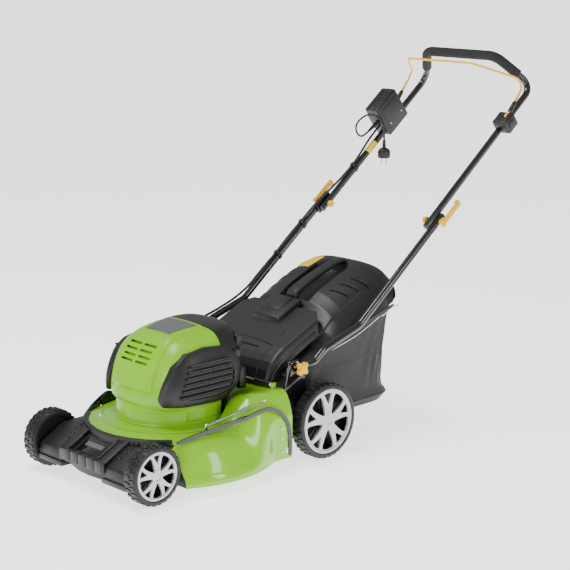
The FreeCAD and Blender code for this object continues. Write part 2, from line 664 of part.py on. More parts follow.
lid_half = size.catcher_half + 3
lid_outer = Part.makeLoft([arch(y, e, c, lid_half, 0) for y, e, c in lid_stations], True, True)
inset = size.lid_wall
lid_inner = Part.makeLoft([arch(y + (-inset if y > 370 else inset), e - 0.02, c - inset, lid_half - inset, 12)
                           for y, e, c in lid_stations], True, True)
lid = lid_outer.cut(lid_inner)
tub_outer = prism_x([(398, 340), (398, 480), (580, 480), (580, 436), (548, 388), (440, 356)], -60, 60)
tub_inner = prism_x([(401, 343), (401, 520), (577, 520), (577, 438), (546, 391), (440, 359)], -57, 57)
lid = lid.cut(tub_inner).fuse(tub_outer.common(lid_outer).cut(tub_inner))
carry_handle = prism_x([(392, 372), (392, 400), (440, 424), (560, 462), (586, 462), (586, 448), (556, 448),
                        (446, 410), (408, 390), (404, 372)], -17, 17)
lid = lid.fuse(carry_handle).removeSplitter()
keep("catcher_lid", solid("catcher_lid", lid))

# ---------------------------------------------------------------- lower handle
knob = Vector(0, size.knob_y, size.knob_z)
clamp = Vector(0, size.clamp_y, size.clamp_z)
leg_angle = math.radians(38.3)
along = Vector(0, math.cos(leg_angle), math.sin(leg_angle))
across = Vector(0, -math.sin(leg_angle), math.cos(leg_angle))


def leg_point(reach, rise=0, x=0):
    """A point in the handle's own plane: reach along the legs from the clamp, rise above them."""
    return clamp + along * reach + across * rise + Vector(x, 0, 0)


lower_bend = leg_point(-396)
lower_points = [Vector(0, size.knob_y - 12, size.knob_z - 1), Vector(0, 250, 264), Vector(0, 290, 293),
                lower_bend, leg_point(22)]
lower_left_route = [p + Vector(size.lower_half, 0, 0) for p in lower_points]
bolt_hole = Part.makeCylinder(size.bolt_radius + size.run_gap, 700, clamp + Vector(-350, 0, 0), Vector(1, 0, 0))
knob_hole = Part.makeCylinder(size.bolt_radius + size.run_gap, 700, knob + Vector(-350, 0, 0), Vector(1, 0, 0))
lower_tube = tube_along(lower_left_route, [45, 45, 60], size.tube_radius, size.tube_wall)
lower_tube = lower_tube.cut(bolt_hole).cut(knob_hole)
keep("lower_tube_left", solid("lower_tube_left", lower_tube))
keep("lower_tube_right", solid("lower_tube_right", mirrored_x(lower_tube)))

# Each bracket is a steel plate on the deck's rear panel; it carries the knob's stud and the rear axle.
plate_outline = [
    ("deck_rear_y", 62), ("deck_rear_y", 200), ("knob_y - 20", "knob_z - 22"), ("knob_y - 20", "knob_z + 14"),
    ("knob_y + 26", "knob_z + 14"), ("knob_y + 44", "knob_z - 30"), ("wheelbase / 2 - crank_reach + 22", 96),
    ("wheelbase / 2 - crank_reach + 18", 68), ("wheelbase / 2 - crank_reach - 18", 62)]
for side, x, foot_x in (("left", "plate_half", "plate_half"),
                        ("right", "-plate_half - plate_thick", "-chute_half + 10")):
    sign = 1 if side == "left" else -1
    plate = padded("plate_" + side, "YZ_Plane", plate_outline, "plate_thick", x=x)
    foot = box("foot_" + side, foot_x, "deck_rear_y", 66, "chute_half - plate_half - 10", 3, 85)
    boss_x = "plate_half + plate_thick" if sign > 0 else "-lower_half + tube_radius + 0.3"
    boss = cylinder("boss_" + side, "x", boss_x, "knob_y", "knob_z", 11,
                    "lower_half - tube_radius - plate_half - plate_thick - 0.3")
    stud_hole = cylinder("stud_hole_" + side, "x", -300, "knob_y", "knob_z", "bolt_radius + run_gap", 600)
    axle_hole = cylinder("axle_hole_" + side, "x", -300, "wheelbase / 2 - crank_reach",
                         "rear_radius - crank_drop", "rear_axle_radius + run_gap", 600)
    keep("handle_bracket_" + side, cut("bracket_" + side, fuse("bracket_" + side, plate, foot, boss),
                                       stud_hole, axle_hole))


def star_knob(sign):
    """Four round lobes about a hub, with the stud that passes through tube and bracket."""
    start = size.lower_half + size.tube_radius + 0.4
    hub = Part.makeCylinder(11, 16, knob + Vector(start, 0, 0), Vector(1, 0, 0))
    for i in range(4):
        turn = math.radians(45 + 90 * i)
        centre = knob + Vector(start + 3, 13 * math.cos(turn), 13 * math.sin(turn))
        hub = hub.fuse(Part.makeCylinder(6.5, 11, centre, Vector(1, 0, 0)))
    stud_length = start - size.plate_half + 8
    stud = Part.makeCylinder(size.bolt_radius, stud_length, knob + Vector(start - stud_length, 0, 0),
                             Vector(1, 0, 0))
    whole = hub.fuse(stud).removeSplitter()
    return whole if sign > 0 else mirrored_x(whole)


keep("star_knob_left", solid("star_knob_left", star_knob(1)))
keep("star_knob_right", solid("star_knob_right", star_knob(-1)))

# Saddles clip on the lower tubes beside the upper ones; a bolt goes right through each pair.
saddles, clamp_bolts = [], []
saddle_low = size.upper_half + size.tube_radius + 0.3
saddle_high = size.lower_half
for sign in (1, -1):
    block = Part.makeBox(saddle_high - saddle_low, 64, 30, Vector(saddle_low, -32, -15))
    block.rotate(Vector(0, 0, 0), Vector(1, 0, 0), math.degrees(leg_angle))
    block.translate(clamp + along * 2)
    block = block.cut(Part.makeCylinder(size.tube_radius, 200, leg_point(-100, 0, saddle_high), along))
    block = block.cut(Part.makeCylinder(size.bolt_radius, 300, clamp, Vector(1, 0, 0)))
    saddles.append(block if sign > 0 else mirrored_x(block))
    shank_start = size.upper_half - size.tube_radius - 12
    shank = Part.makeCylinder(size.bolt_radius, size.lower_half + size.tube_radius + 3.5 - shank_start,
                              clamp + Vector(shank_start, 0, 0), Vector(1, 0, 0))
    nut = Part.makeCylinder(10, 9, clamp + Vector(shank_start, 0, 0), Vector(1, 0, 0))
    bolt = shank.fuse(nut)
    clamp_bolts.append(bolt if sign > 0 else mirrored_x(bolt))
keep("clamp_saddles", solid("clamp_saddles", Part.makeCompound(saddles)))
keep("clamp_bolts", solid("clamp_bolts", Part.makeCompound(clamp_bolts)))


def cam_lever(sign):
    """A quick-release lever: a round cam head and a thick arm that lies along the tube."""
    low = size.lower_half + size.tube_radius + 4
    head_at = leg_point(0, -10, low + 7)
    head = Part.makeCylinder(7, 20, head_at, across)
    arm = Part.makeBox(11, 84, 16, Vector(low + 1, 0, -8))
    arm = arm.cut(Part.makeBox(20, 60, 30, Vector(low - 12.6, 12, -15)))
    arm.rotate(Vector(0, 0, 0), Vector(1, 0, 0), math.degrees(leg_angle))
    arm.translate(clamp)
    whole = head.fuse(arm).removeSplitter()
    return whole if sign > 0 else mirrored_x(whole)


keep("cam_lever_left", solid("cam_lever_left", cam_lever(1)))
keep("cam_lever_right", solid("cam_lever_right", cam_lever(-1)))

# ---------------------------------------------------------------- upper handle
leg_foot = leg_point(-20, 0, size.upper_half)
leg_head = leg_point(560.5, 0, size.upper_half)
bar_corner = Vector(133, 1086, 1015)
upper_route = both_sides([bar_corner, leg_head, leg_foot])
upper_tube = tube_along(upper_route, [38, 45, 45, 38], size.tube_radius, size.tube_wall).cut(bolt_hole)
keep("upper_tube", solid("upper_tube", upper_tube))
grip_end = bar_corner + (leg_head - bar_corner) * 0.62
grip_route = both_sides([bar_corner, grip_end])
grip_outer, grip_wire = rod_along(grip_route, [45, 45], size.grip_radius)
grip_inner, grip_wire = rod_along(grip_route, [45, 45], size.tube_radius)
keep("foam_grip", solid("foam_grip", grip_outer.cut(grip_inner)))


def leg_box(reach, rise, x, length, depth, height):
    """A box set along the legs: its low corner at (reach, rise) and x."""
    block = Part.makeBox(depth, length, height)
    block.rotate(Vector(0, 0, 0), Vector(1, 0, 0), math.degrees(leg_angle))
    block.translate(leg_point(reach, rise, x))
    return block


leg_bore = Part.makeCylinder(size.tube_radius, 700, leg_point(0, 0, -size.upper_half), along)
leg_bore_left = mirrored_x(leg_bore)
pivot_reach, pivot_rise = 408, 20
bail_pivot = leg_point(pivot_reach, pivot_rise)
bail_x = 221
switch_reach, switch_length = 312, 100
case = leg_box(switch_reach, -15, -238, switch_length, 56, 104).cut(leg_bore)
button_reach, button_rise = switch_reach + switch_length, 52
button_start = leg_point(button_reach - 16, button_rise, -210)
case = case.cut(Part.makeCylinder(9.3, 30, button_start, along))
bail_groove = Part.makeCylinder(16, 12, bail_pivot + Vector(-bail_x - 6, 0, 0), Vector(1, 0, 0))
case = case.cut(bail_groove).removeSplitter()
keep("switch_box", solid("switch_box", case))
keep("start_button", solid("start_button", Part.makeCylinder(9, 15, leg_point(button_reach - 9, button_rise, -210),
                                                             along)))
small_box = leg_box(pivot_reach - 36, -14, 190, 48, 44, 52).cut(leg_bore_left)
small_box = small_box.cut(mirrored_x(bail_groove)).removeSplitter()
keep("pivot_box", solid("pivot_box", small_box))

# The bail: a thin rod that mirrors the grip's outline, with a socket and a boss at each end.
bail_foot = bail_pivot + (leg_point(457, 32) - bail_pivot).normalize() * 9 + Vector(bail_x, 0, 0)
bail_points = both_sides([Vector(122, 989, 999), Vector(bail_x, 1122, 946), bail_foot])
bail, bail_wire = rod_along(bail_points, [30, 22, 22, 30], size.bail_radius)
for sign in (1, -1):
    boss = Part.makeCylinder(10, 8, bail_pivot + Vector(sign * bail_x - 4, 0, 0), Vector(1, 0, 0))
    foot = Vector(sign * bail_foot.x, bail_foot.y, bail_foot.z)
    towards = Vector(sign * bail_x, 1122, 946) - foot
    socket = Part.makeCylinder(5.5, 34, foot + towards.normalize() * 8, towards)
    bail = bail.fuse(boss).fuse(socket)
pin_bore = Part.makeCylinder(3.05, 600, bail_pivot + Vector(-300, 0, 0), Vector(1, 0, 0))
keep("bail_bar", solid("bail_bar", bail.cut(pin_bore).removeSplitter()))

# ---------------------------------------------------------------- cables
def easy_radii(points):
    """Each arc as large as its two runs allow."""
    radii = []
    for i in range(1, len(points) - 1):
        back, ahead = points[i - 1] - points[i], points[i + 1] - points[i]
        half_turn = (math.pi - back.getAngle(ahead)) / 2
        radii.append(0.45 * min(back.Length, ahead.Length) / math.tan(half_turn))
    return radii


def cable(name, points, radius=size.cable_radius):
    radii = easy_radii(points)
    shape, wire = rod_along(points, radii, radius)
    section = math.pi * radius ** 2
    print("%s: length %.0f mm, radii %s, volume ratio %.4f" % (
        name, wire.Length, [round(r) for r in radii], shape.Volume / (section * wire.Length)))
    return keep(name, solid(name, shape))


# The motor cable: box to clamp, clamp to knob, knob to hood; the three meet near the two pivots.
tube_half = -size.lower_half
cable_top = leg_point(2, 20.5, -215)
cable_turn = Vector(-202, 198, 285)
end_gap = 0.4
keep("motor_cable_upper", cable("motor_cable_upper", [
    leg_point(switch_reach, 24, -210), leg_point(279, 24, -210), leg_point(240, 22.5, -209),
    leg_point(200, 17.5, -207), leg_point(158, 14.2, -206), leg_point(105, 15.6, -206),
    leg_point(52, 18.5, -208.5), leg_point(2 + end_gap, 20.5, -215)]))
keep("motor_cable_lower", cable("motor_cable_lower", [
    cable_top, leg_point(-40.5, 22.2, -220.5), leg_point(-84, 14.2, -230), leg_point(-135, 15.6, -230.5),
    leg_point(-180, 16.4, -230), leg_point(-226, 14.6, -229.5), leg_point(-274, 16.9, -229),
    leg_point(-322, 17.4, -229.5), leg_point(-366, 16.0, -230), Vector(tube_half, 382, 339),
    Vector(tube_half, 346, 327.5), Vector(tube_half, 312, 316.5), Vector(tube_half + 1, 280, 308.5),
    Vector(tube_half + 8, 252, 306), Vector(-207.5, 226.6, 301.5), cable_turn]))
gland_face = Vector(-139.6, 103.1, 232.3)
gland_axis = Vector(-1, 1, 0)
keep("motor_cable_tail", cable("motor_cable_tail", [
    cable_turn - Vector(0, end_gap, end_gap / 2), Vector(-197.2, 173, 270.6), Vector(-188, 150, 252), Vector(-173, 133.5, 238),
    Vector(-155.5, 119, 232.3), gland_face]))
gland = Part.makeCylinder(7, 16, gland_face - gland_axis.normalize() * 16, gland_axis)
keep("cable_gland", solid("cable_gland", gland.cut(hood_loft(-0.05).common(rear_half_space))))

# The plug lead: out of its strain relief, back over in a loop, and down to a hanging plug.
relief_start = leg_point(switch_reach, 42, -205)
relief_end = leg_point(264, 47.5, -205)
relief = Part.makeCylinder(5, (relief_end - relief_start).Length, relief_start, relief_end - relief_start)
keep("strain_relief", solid("strain_relief", relief.cut(leg_box(switch_reach, -15, -238, 30, 56, 104))))
plug_top = Vector(-170, 941, 752)
relief_out = (relief_end - relief_start).normalize()
keep("plug_cord", cable("plug_cord", [
    relief_end, relief_end + relief_out * 23, Vector(-205.5, 874.3, 765.9), Vector(-206.5, 860.2, 775.4),
    Vector(-207, 854.4, 791.4), Vector(-207, 859.1, 807.7), Vector(-204, 878.8, 823.1),
    Vector(-197, 903, 833), Vector(-184, 924, 825), Vector(-174, 938, 804), Vector(-170, 941, 778),
    plug_top], size.lead_radius))
plug_parts = [
    Part.makeCylinder(5.5, 24, plug_top - Vector(0, 0, 24)),
    Part.makeCone(19, 14, 12, plug_top - Vector(0, 0, 36)),
    Part.makeCylinder(19, 18, plug_top - Vector(0, 0, 54)),
]
for x in (-9.5, 9.5):
    plug_parts.append(Part.makeCylinder(2.4, 19, plug_top + Vector(x, 0, -73)))
plug = plug_parts[0].multiFuse(plug_parts[1:]).removeSplitter()
keep("plug", solid("plug", plug))


def tube_clip(centre, direction, outward):
    """A clip: one ring round the tube and a smaller one that holds the cable beside it."""
    start = centre - direction * 5
    beside = start + outward * (size.tube_radius + size.cable_radius + 0.8)
    body = Part.makeCylinder(size.tube_radius + 2.2, 10, start, direction)
    body = body.fuse(Part.makeCylinder(size.cable_radius + 3.4, 10, beside, direction))
    body = body.cut(Part.makeCylinder(size.tube_radius, 10, start, direction))
    return body.cut(Part.makeCylinder(size.cable_radius + 1.4, 10, beside, direction))


keep("cable_clips_upper", solid("cable_clips_upper", tube_clip(leg_point(150, 0, -size.upper_half),
                                                               along, across)))
keep("cable_clips_lower", solid("cable_clips_lower", Part.makeCompound([
    tube_clip(leg_point(reach, 0, -size.lower_half), along, across) for reach in (-224, -96)])))

# ---------------------------------------------------------------- check and write
doc.recompute()
for obj in doc.Objects:
    if "Invalid" in obj.State or "Error" in obj.State:
        raise RuntimeError("%s did not build: %s" % (obj.Name, obj.State))
for name, obj in nodes.items():
    if obj.Shape.isNull() or not obj.Shape.isValid() or not obj.Shape.Solids:
        raise RuntimeError("%s has no valid solid" % name)
# The row's origin is on the ground below the middle of the whole length, handle included.
front_end = nodes["front_wheel_left"].Shape.optimalBoundingBox(False).YMin
back_end = nodes["upper_tube"].Shape.optimalBoundingBox(False).YMax
to_origin = Vector(0, -(front_end + back_end) / 2, 0)
print("origin shift %.3f" % to_origin.y)
for name, obj in nodes.items():
    shape = obj.Shape.copy()
    shape.translate(to_origin)
    shape.exportStep("parts/%s.step" % name)
print("wrote %d parts" % len(nodes))
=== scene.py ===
# %% [markdown]
# # A corded push mower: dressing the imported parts
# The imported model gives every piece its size, its place and the body that it moves with. This lesson
# keeps those and builds the looks on top: pressed steel, moulded shells, a sewn bag, chunky wheels and
# a bent tube handle. Each step says what the real piece is, how it could be made and why one way won.

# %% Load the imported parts
import json
import math

import bpy
from mathutils import Matrix, Vector

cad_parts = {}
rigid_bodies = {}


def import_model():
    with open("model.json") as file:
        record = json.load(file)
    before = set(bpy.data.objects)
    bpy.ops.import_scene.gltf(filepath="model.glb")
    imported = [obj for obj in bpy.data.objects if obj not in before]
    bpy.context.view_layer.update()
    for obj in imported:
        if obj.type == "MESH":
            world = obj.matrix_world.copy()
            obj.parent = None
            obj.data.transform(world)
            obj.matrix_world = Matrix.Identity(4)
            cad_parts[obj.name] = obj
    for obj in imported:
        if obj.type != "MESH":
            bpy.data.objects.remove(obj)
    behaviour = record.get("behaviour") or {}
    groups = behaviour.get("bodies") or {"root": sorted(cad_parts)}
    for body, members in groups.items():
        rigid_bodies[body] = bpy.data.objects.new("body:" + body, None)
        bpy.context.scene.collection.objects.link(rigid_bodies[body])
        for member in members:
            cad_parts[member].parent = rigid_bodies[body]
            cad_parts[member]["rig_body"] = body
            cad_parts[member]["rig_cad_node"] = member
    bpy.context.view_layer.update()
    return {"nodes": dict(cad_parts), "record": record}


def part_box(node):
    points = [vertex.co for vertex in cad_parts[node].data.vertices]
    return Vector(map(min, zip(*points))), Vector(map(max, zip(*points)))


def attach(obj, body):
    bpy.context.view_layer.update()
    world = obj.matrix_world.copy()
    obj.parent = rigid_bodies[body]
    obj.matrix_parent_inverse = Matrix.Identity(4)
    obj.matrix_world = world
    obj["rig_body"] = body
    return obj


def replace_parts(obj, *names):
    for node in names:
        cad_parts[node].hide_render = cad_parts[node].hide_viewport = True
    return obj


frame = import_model()

# %% [markdown]
# ## A handy place to measure from
# The parts' own origin lies below the middle of the whole length. A mower is easier to think about
# from the point on the ground midway between its axles, so every piece is modelled about that point
# and moved into the parts' frame at the end.

# %% Find the middle between the axles
front_low, front_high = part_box("front_wheel_left")
rear_low, rear_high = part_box("rear_wheel_left")
MIDWAY = (front_low.y + front_high.y + rear_low.y + rear_high.y) / 4
INTO_FRAME = Matrix.Translation((0, MIDWAY, 0))
LEG_ANGLE = math.radians(38.3)
ALONG = Vector((0, math.cos(LEG_ANGLE), math.sin(LEG_ANGLE)))
ACROSS = Vector((0, -math.sin(LEG_ANGLE), math.cos(LEG_ANGLE)))
CLAMP = Vector((0, 0.732, 0.579))


def leg(reach, rise=0.0, x=0.0):
    """A point by the handle: reach up the legs from the clamp, rise above them, x to the side."""
    return CLAMP + ALONG * reach + ACROSS * rise + Vector((x, 0, 0))


print("middle between the axles at y = %.4f m" % MIDWAY)

# %% [markdown]
# ## Camera
# A long lens from the front left, a little above the deck, shows the mower as a shop would. The place
# is a turn, a tilt and a distance about one target point, which is easier to adjust than a matrix.

# %% Set up the camera
TURN, TILT, DISTANCE = math.radians(46.539), math.radians(12.577), 4.0
target = INTO_FRAME @ Vector((0.2848, 0.0956, 0.5054))
back = Vector((math.sin(TURN) * math.cos(TILT), -math.cos(TURN) * math.cos(TILT), math.sin(TILT)))
camera_data = bpy.data.cameras.new("camera")
camera_data.sensor_width = 36
camera_data.lens = 100.7
camera_data.clip_end = 200
camera = bpy.data.objects.new("camera", camera_data)
camera.location = target + back * DISTANCE
camera.rotation_euler = back.to_track_quat("Z", "Y").to_euler()
bpy.context.scene.collection.objects.link(camera)
bpy.context.scene.camera = camera

# %% [markdown]
# ## Floor and light
# The mower stands on a pale, even floor. A bright sky all round keeps shadows soft, one large panel
# overhead gives the enamel a broad highlight, and a narrower one draws lines along the tubes.

# %% Build the studio
bpy.ops.object.select_all(action="DESELECT")
bpy.ops.mesh.primitive_plane_add(size=120, location=(0, 0, 0))
floor = bpy.context.object
floor.name = "studio_floor"
world = bpy.data.worlds.new("studio")
bpy.context.scene.world = world
world.use_nodes = True
world.node_tree.nodes["Background"].inputs["Color"].default_value = (1, 1, 1, 1)
world.node_tree.nodes["Background"].inputs["Strength"].default_value = 0.5


def panel(name, place, aim, size, power):
    """A soft rectangular lamp at a place, facing a point."""
    data = bpy.data.lights.new(name, "AREA")
    data.shape = "RECTANGLE"
    data.size, data.size_y = size
    data.energy = power
    lamp = bpy.data.objects.new(name, data)
    lamp.location = INTO_FRAME @ Vector(place)
    direction = Vector(place) - Vector(aim)
    lamp.rotation_euler = direction.to_track_quat("Z", "Y").to_euler()
    bpy.context.scene.collection.objects.link(lamp)


panel("overhead_panel", (-0.6, -0.6, 3.0), (0, 0.2, 0.3), (1.5, 0.8), 62)
panel("left_panel", (3.2, 0.8, 1.8), (0, 0.2, 0.3), (0.6, 1.8), 30)
panel("front_panel", (0.6, -3.4, 1.6), (0, 0.1, 0.3), (1.4, 0.7), 34)

# %% [markdown]
# ## Building materials from nodes
# A finish is a Principled shader with textures feeding its colour, roughness and bump. Two helpers
# are enough: one turns a hex colour into the linear values that a shader expects, the other adds any
# node with its settings and links in one line.

# %% Material helpers
def linear(code):
    """An sRGB hex colour as linear red, green, blue and alpha."""
    parts = [int(code[i:i + 2], 16) / 255 for i in (0, 2, 4)]
    return [p / 12.92 if p <= 0.04045 else ((p + 0.055) / 1.055) ** 2.4 for p in parts] + [1]


def add(tree, kind, sockets, **settings):
    """Add a shader node; each socket gets a value or the output that drives it."""
    node = tree.nodes.new("ShaderNode" + kind)
    for name, value in settings.items():
        setattr(node, name, value)
    for key, value in sockets.items():
        if isinstance(value, bpy.types.NodeSocket):
            tree.links.new(value, node.inputs[key])
        else:
            node.inputs[key].default_value = value
    return node


def surface(name, base, roughness, grain_mm, bump_mm, mottle=0.12, streak=None, **shader_values):
    """A material with a mottled colour, uneven gloss and a fine raised grain of a real size."""
    material = bpy.data.materials.new(name)
    material.use_nodes = True
    tree = material.node_tree
    shader = tree.nodes["Principled BSDF"]
    place = add(tree, "TexCoord", {}).outputs["Object"]
    if streak:
        place = add(tree, "Mapping", {"Vector": place, "Scale": streak}).outputs["Vector"]
    cloud = add(tree, "TexNoise", {"Vector": place, "Scale": 28, "Detail": 4}).outputs["Fac"]
    grain = add(tree, "TexNoise", {"Vector": place, "Scale": 1000 / grain_mm, "Detail": 2}).outputs["Fac"]
    colour = linear(base)
    dark = [c * (1 - mottle) for c in colour[:3]] + [1]
    light = [min(1, c * (1 + mottle) + 0.004) for c in colour[:3]] + [1]
    ramp = add(tree, "Mix", {"Factor": cloud, 6: dark, 7: light}, data_type="RGBA")
    gloss = add(tree, "MapRange", {"Value": grain, "From Min": 0.3, "From Max": 0.7,
                                   "To Min": roughness * 0.85, "To Max": min(1, roughness * 1.2)})
    raised = add(tree, "Bump", {"Height": grain, "Strength": 0.5, "Distance": bump_mm / 1000})
    tree.links.new(ramp.outputs[2], shader.inputs["Base Color"])
    tree.links.new(gloss.outputs["Result"], shader.inputs["Roughness"])
    tree.links.new(raised.outputs["Normal"], shader.inputs["Normal"])
    for key, value in shader_values.items():
        shader.inputs[key.replace("_", " ")].default_value = value
    return material


# %% [markdown]
# ## The mower's finishes
# Enamel and powder coat are paint over steel, so they carry a clear gloss over a slightly rippled
# colour, the "orange peel" about 2 mm from crest to crest. Moulded plastic takes the grain of its
# tool, close to 1 mm here so that it shows. Zinc plate, spring wire and silver paint differ mostly in
# how metallic and how rough they are.

# %% Make the finishes
LIME = "84C400"
lime_enamel = surface("lime_enamel", LIME, 0.16, 2.5, 0.03, 0.05, Coat_Weight=0.6, Coat_Roughness=0.04,
                      Specular_IOR_Level=0.3)
lime_abs = surface("lime_abs_moulding", LIME, 0.3, 1.6, 0.04, 0.04, Coat_Weight=0.1, Coat_Roughness=0.2, Specular_IOR_Level=0.3)
grained_plastic = surface("grained_charcoal_plastic", "101012", 0.42, 1.1, 0.06, 0.10)
black_plastic = surface("moulded_black_plastic", "0B0B0C", 0.4, 1.3, 0.06, 0.12)
wheel_plastic = surface("tread_black_plastic", "0C0C0D", 0.46, 1.6, 0.12, 0.25)
yellow_plastic = surface("yellow_abs_moulding", "F0B400", 0.34, 1.5, 0.04, 0.06, Specular_IOR_Level=0.25)
yellow_coat = surface("yellow_powder_coat", "F0B400", 0.3, 1.8, 0.05, 0.06, Coat_Weight=0.4)
silver_paint = surface("silver_painted_plastic", "C3C5C8", 0.34, 1.2, 0.04, 0.05, Metallic=0.35)
black_coat = surface("black_powder_coat", "060607", 0.16, 1.8, 0.05, 0.2, Coat_Weight=0.6, Coat_Roughness=0.08)
zinc_plate = surface("zinc_plated_steel", "B9BCC0", 0.32, 1.4, 0.04, 0.12, Metallic=1.0)
spring_wire = surface("bright_spring_wire", "C9CBCE", 0.22, 1.0, 0.02, 0.08, Metallic=1.0)
winding_steel = surface("stacked_core_steel", "5B5C60", 0.5, 1.0, 0.10, 0.2, streak=(1, 1, 30), Metallic=0.8)
closed_foam = surface("closed_cell_foam", "111112", 0.78, 2.2, 0.35, 0.15)
cable_rubber = surface("cable_sheath_rubber", "0D0D0E", 0.42, 1.5, 0.04, 0.15)
label_grey = surface("grey_printed_film", "5B5D60", 0.4, 2.0, 0.02, 0.06)
label_yellow = surface("yellow_printed_film", "F0D000", 0.4, 2.0, 0.02, 0.05)
badge_gloss = surface("gloss_black_badge", "0C0C0E", 0.16, 3.0, 0.01, 0.1, Coat_Weight=0.5)
white_cord = surface("white_piping", "E6E6E4", 0.6, 1.2, 0.10, 0.06)
floor_white = surface("pale_studio_floor", "FBFBFA", 0.8, 6.0, 0.02, 0.006)
floor_shader = floor_white.node_tree.nodes["Principled BSDF"]
floor_shader.inputs["Emission Color"].default_value = (1, 1, 1, 1)
floor_shader.inputs["Emission Strength"].default_value = 1.7
floor.data.materials.append(floor_white)

# %% [markdown]
# ## Modelling helpers
# Everything below is made as by hand: add a primitive, move its corners, extrude, spin or bevel it,
# and apply a modifier. Operators act on whatever is selected, so each helper first clears that.

# %% Start pieces from primitives
def only(piece):
    """Select one piece and make it active."""
    bpy.ops.object.select_all(action="DESELECT")
    piece.select_set(True)
    bpy.context.view_layer.objects.active = piece
    return piece


def edit(piece, *steps):
    """Run mesh operators on a whole piece: each step is an operator's name and its settings."""
    only(piece)
    bpy.ops.object.mode_set(mode="EDIT")
    bpy.ops.mesh.select_all(action="SELECT")
    for name, settings in steps:
        getattr(bpy.ops.mesh, name)(**settings)
    bpy.ops.object.mode_set(mode="OBJECT")
    return piece


MERGE = ("remove_doubles", {"threshold": 0.00002})
OUTWARDS = ("normals_make_consistent", {"inside": False})


def block(low, high):
    """A box between two corners."""
    bpy.ops.object.select_all(action="DESELECT")
    low, high = Vector(low), Vector(high)
    bpy.ops.mesh.primitive_cube_add(size=1, location=(low + high) / 2)
    bpy.context.object.scale = high - low
    bpy.ops.object.transform_apply(location=True, rotation=True, scale=True)
    return bpy.context.object


def slab(outline, axis, low, high):
    """A flat outline drawn square to an axis and extruded from low to high along it."""
    bpy.ops.object.select_all(action="DESELECT")
    bpy.ops.mesh.primitive_circle_add(vertices=len(outline), fill_type="NGON")
    piece = bpy.context.object
    first, second, third = {"x": (1, 2, 0), "y": (0, 2, 1), "z": (0, 1, 2)}[axis]
    for vertex, (a, b) in zip(piece.data.vertices, outline):
        spot = [0, 0, 0]
        spot[first], spot[second], spot[third] = a, b, low
        vertex.co = spot
    run = [0, 0, 0]
    run[third] = high - low
    return edit(piece, ("extrude_region_move", {"TRANSFORM_OT_translate": {"value": run}}),
                ("select_all", {"action": "SELECT"}), OUTWARDS)


def lathe(profile, axis, centre=(0, 0, 0), steps=64):
    """A closed profile of (radius, height) points spun once round an axis."""
    bpy.ops.object.select_all(action="DESELECT")
    bpy.ops.mesh.primitive_circle_add(vertices=len(profile), fill_type="NOTHING")
    piece = bpy.context.object
    for vertex, (radius, height) in zip(piece.data.vertices, profile):
        vertex.co = (radius, 0, height) if axis == "z" else (height, radius, 0)
    spin = {"steps": steps, "angle": 2 * math.pi, "center": (0, 0, 0),
            "axis": (0, 0, 1) if axis == "z" else (1, 0, 0)}
    edit(piece, ("spin", spin), ("select_all", {"action": "SELECT"}), MERGE,
         ("dissolve_degenerate", {"threshold": 0.00001}), ("select_all", {"action": "SELECT"}), OUTWARDS)
    piece.data.transform(Matrix.Translation(centre))
    return piece


def skin(columns, rows, spot, wrap=False):
    """A grid whose every corner is moved to spot(u, v), with u and v from 0 to 1."""
    bpy.ops.object.select_all(action="DESELECT")
    bpy.ops.mesh.primitive_grid_add(x_subdivisions=columns, y_subdivisions=rows, size=1)
    piece = bpy.context.object
    for vertex in piece.data.vertices:
        vertex.co = spot(vertex.co.x + 0.5, vertex.co.y + 0.5)
    return edit(piece, MERGE, ("dissolve_degenerate", {"threshold": 0.00001}),
                ("select_all", {"action": "SELECT"}), OUTWARDS) if wrap else piece


# %% Shape and combine pieces
def apply(piece, kind, **settings):
    """Add one modifier and apply it."""
    only(piece)
    modifier = piece.modifiers.new(kind.lower(), kind)
    for name, value in settings.items():
        setattr(modifier, name, value)
    bpy.ops.object.modifier_apply(modifier=modifier.name)
    return piece


def carve(piece, *tools, keep=False, operation="DIFFERENCE"):
    """Take tools out of a piece, or keep only what they share with it."""
    for tool in tools:
        apply(piece, "BOOLEAN", operation=operation, object=tool, solver="EXACT")
        if not keep:
            bpy.data.objects.remove(tool)
    return piece


def ease(piece, width, segments=2, angle=35):
    """Round a piece's sharp edges."""
    return apply(piece, "BEVEL", width=width, segments=segments, limit_method="ANGLE",
                 angle_limit=math.radians(angle), use_clamp_overlap=True)


def joined(*pieces):
    """One object from several."""
    bpy.ops.object.select_all(action="DESELECT")
    for piece in pieces:
        piece.select_set(True)
    bpy.context.view_layer.objects.active = pieces[0]
    bpy.ops.object.join()
    return pieces[0]


def twin(piece, move):
    """A copy with its own mesh, moved by a matrix and kept facing outwards."""
    copy = piece.copy()
    copy.data = piece.data.copy()
    bpy.context.scene.collection.objects.link(copy)
    copy.data.transform(move)
    if move.determinant() < 0:
        copy.data.flip_normals()
    return copy


FLIP_X = Matrix.Scale(-1, 4, (1, 0, 0))


def done(piece, name, body, slot, material, stands_for=(), moved=True):
    """Name a piece, set it in the parts' frame, finish it and hand it to its body."""
    only(piece)
    bpy.ops.object.transform_apply(location=True, rotation=True, scale=True)
    if moved:
        piece.data.transform(INTO_FRAME)
    bpy.ops.object.shade_smooth_by_angle(angle=math.radians(34))
    piece.name = name
    piece.data.name = name
    piece.data.materials.clear()
    piece.data.materials.append(material)
    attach(piece, body)
    if stands_for:
        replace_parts(piece, *stands_for)
    return piece


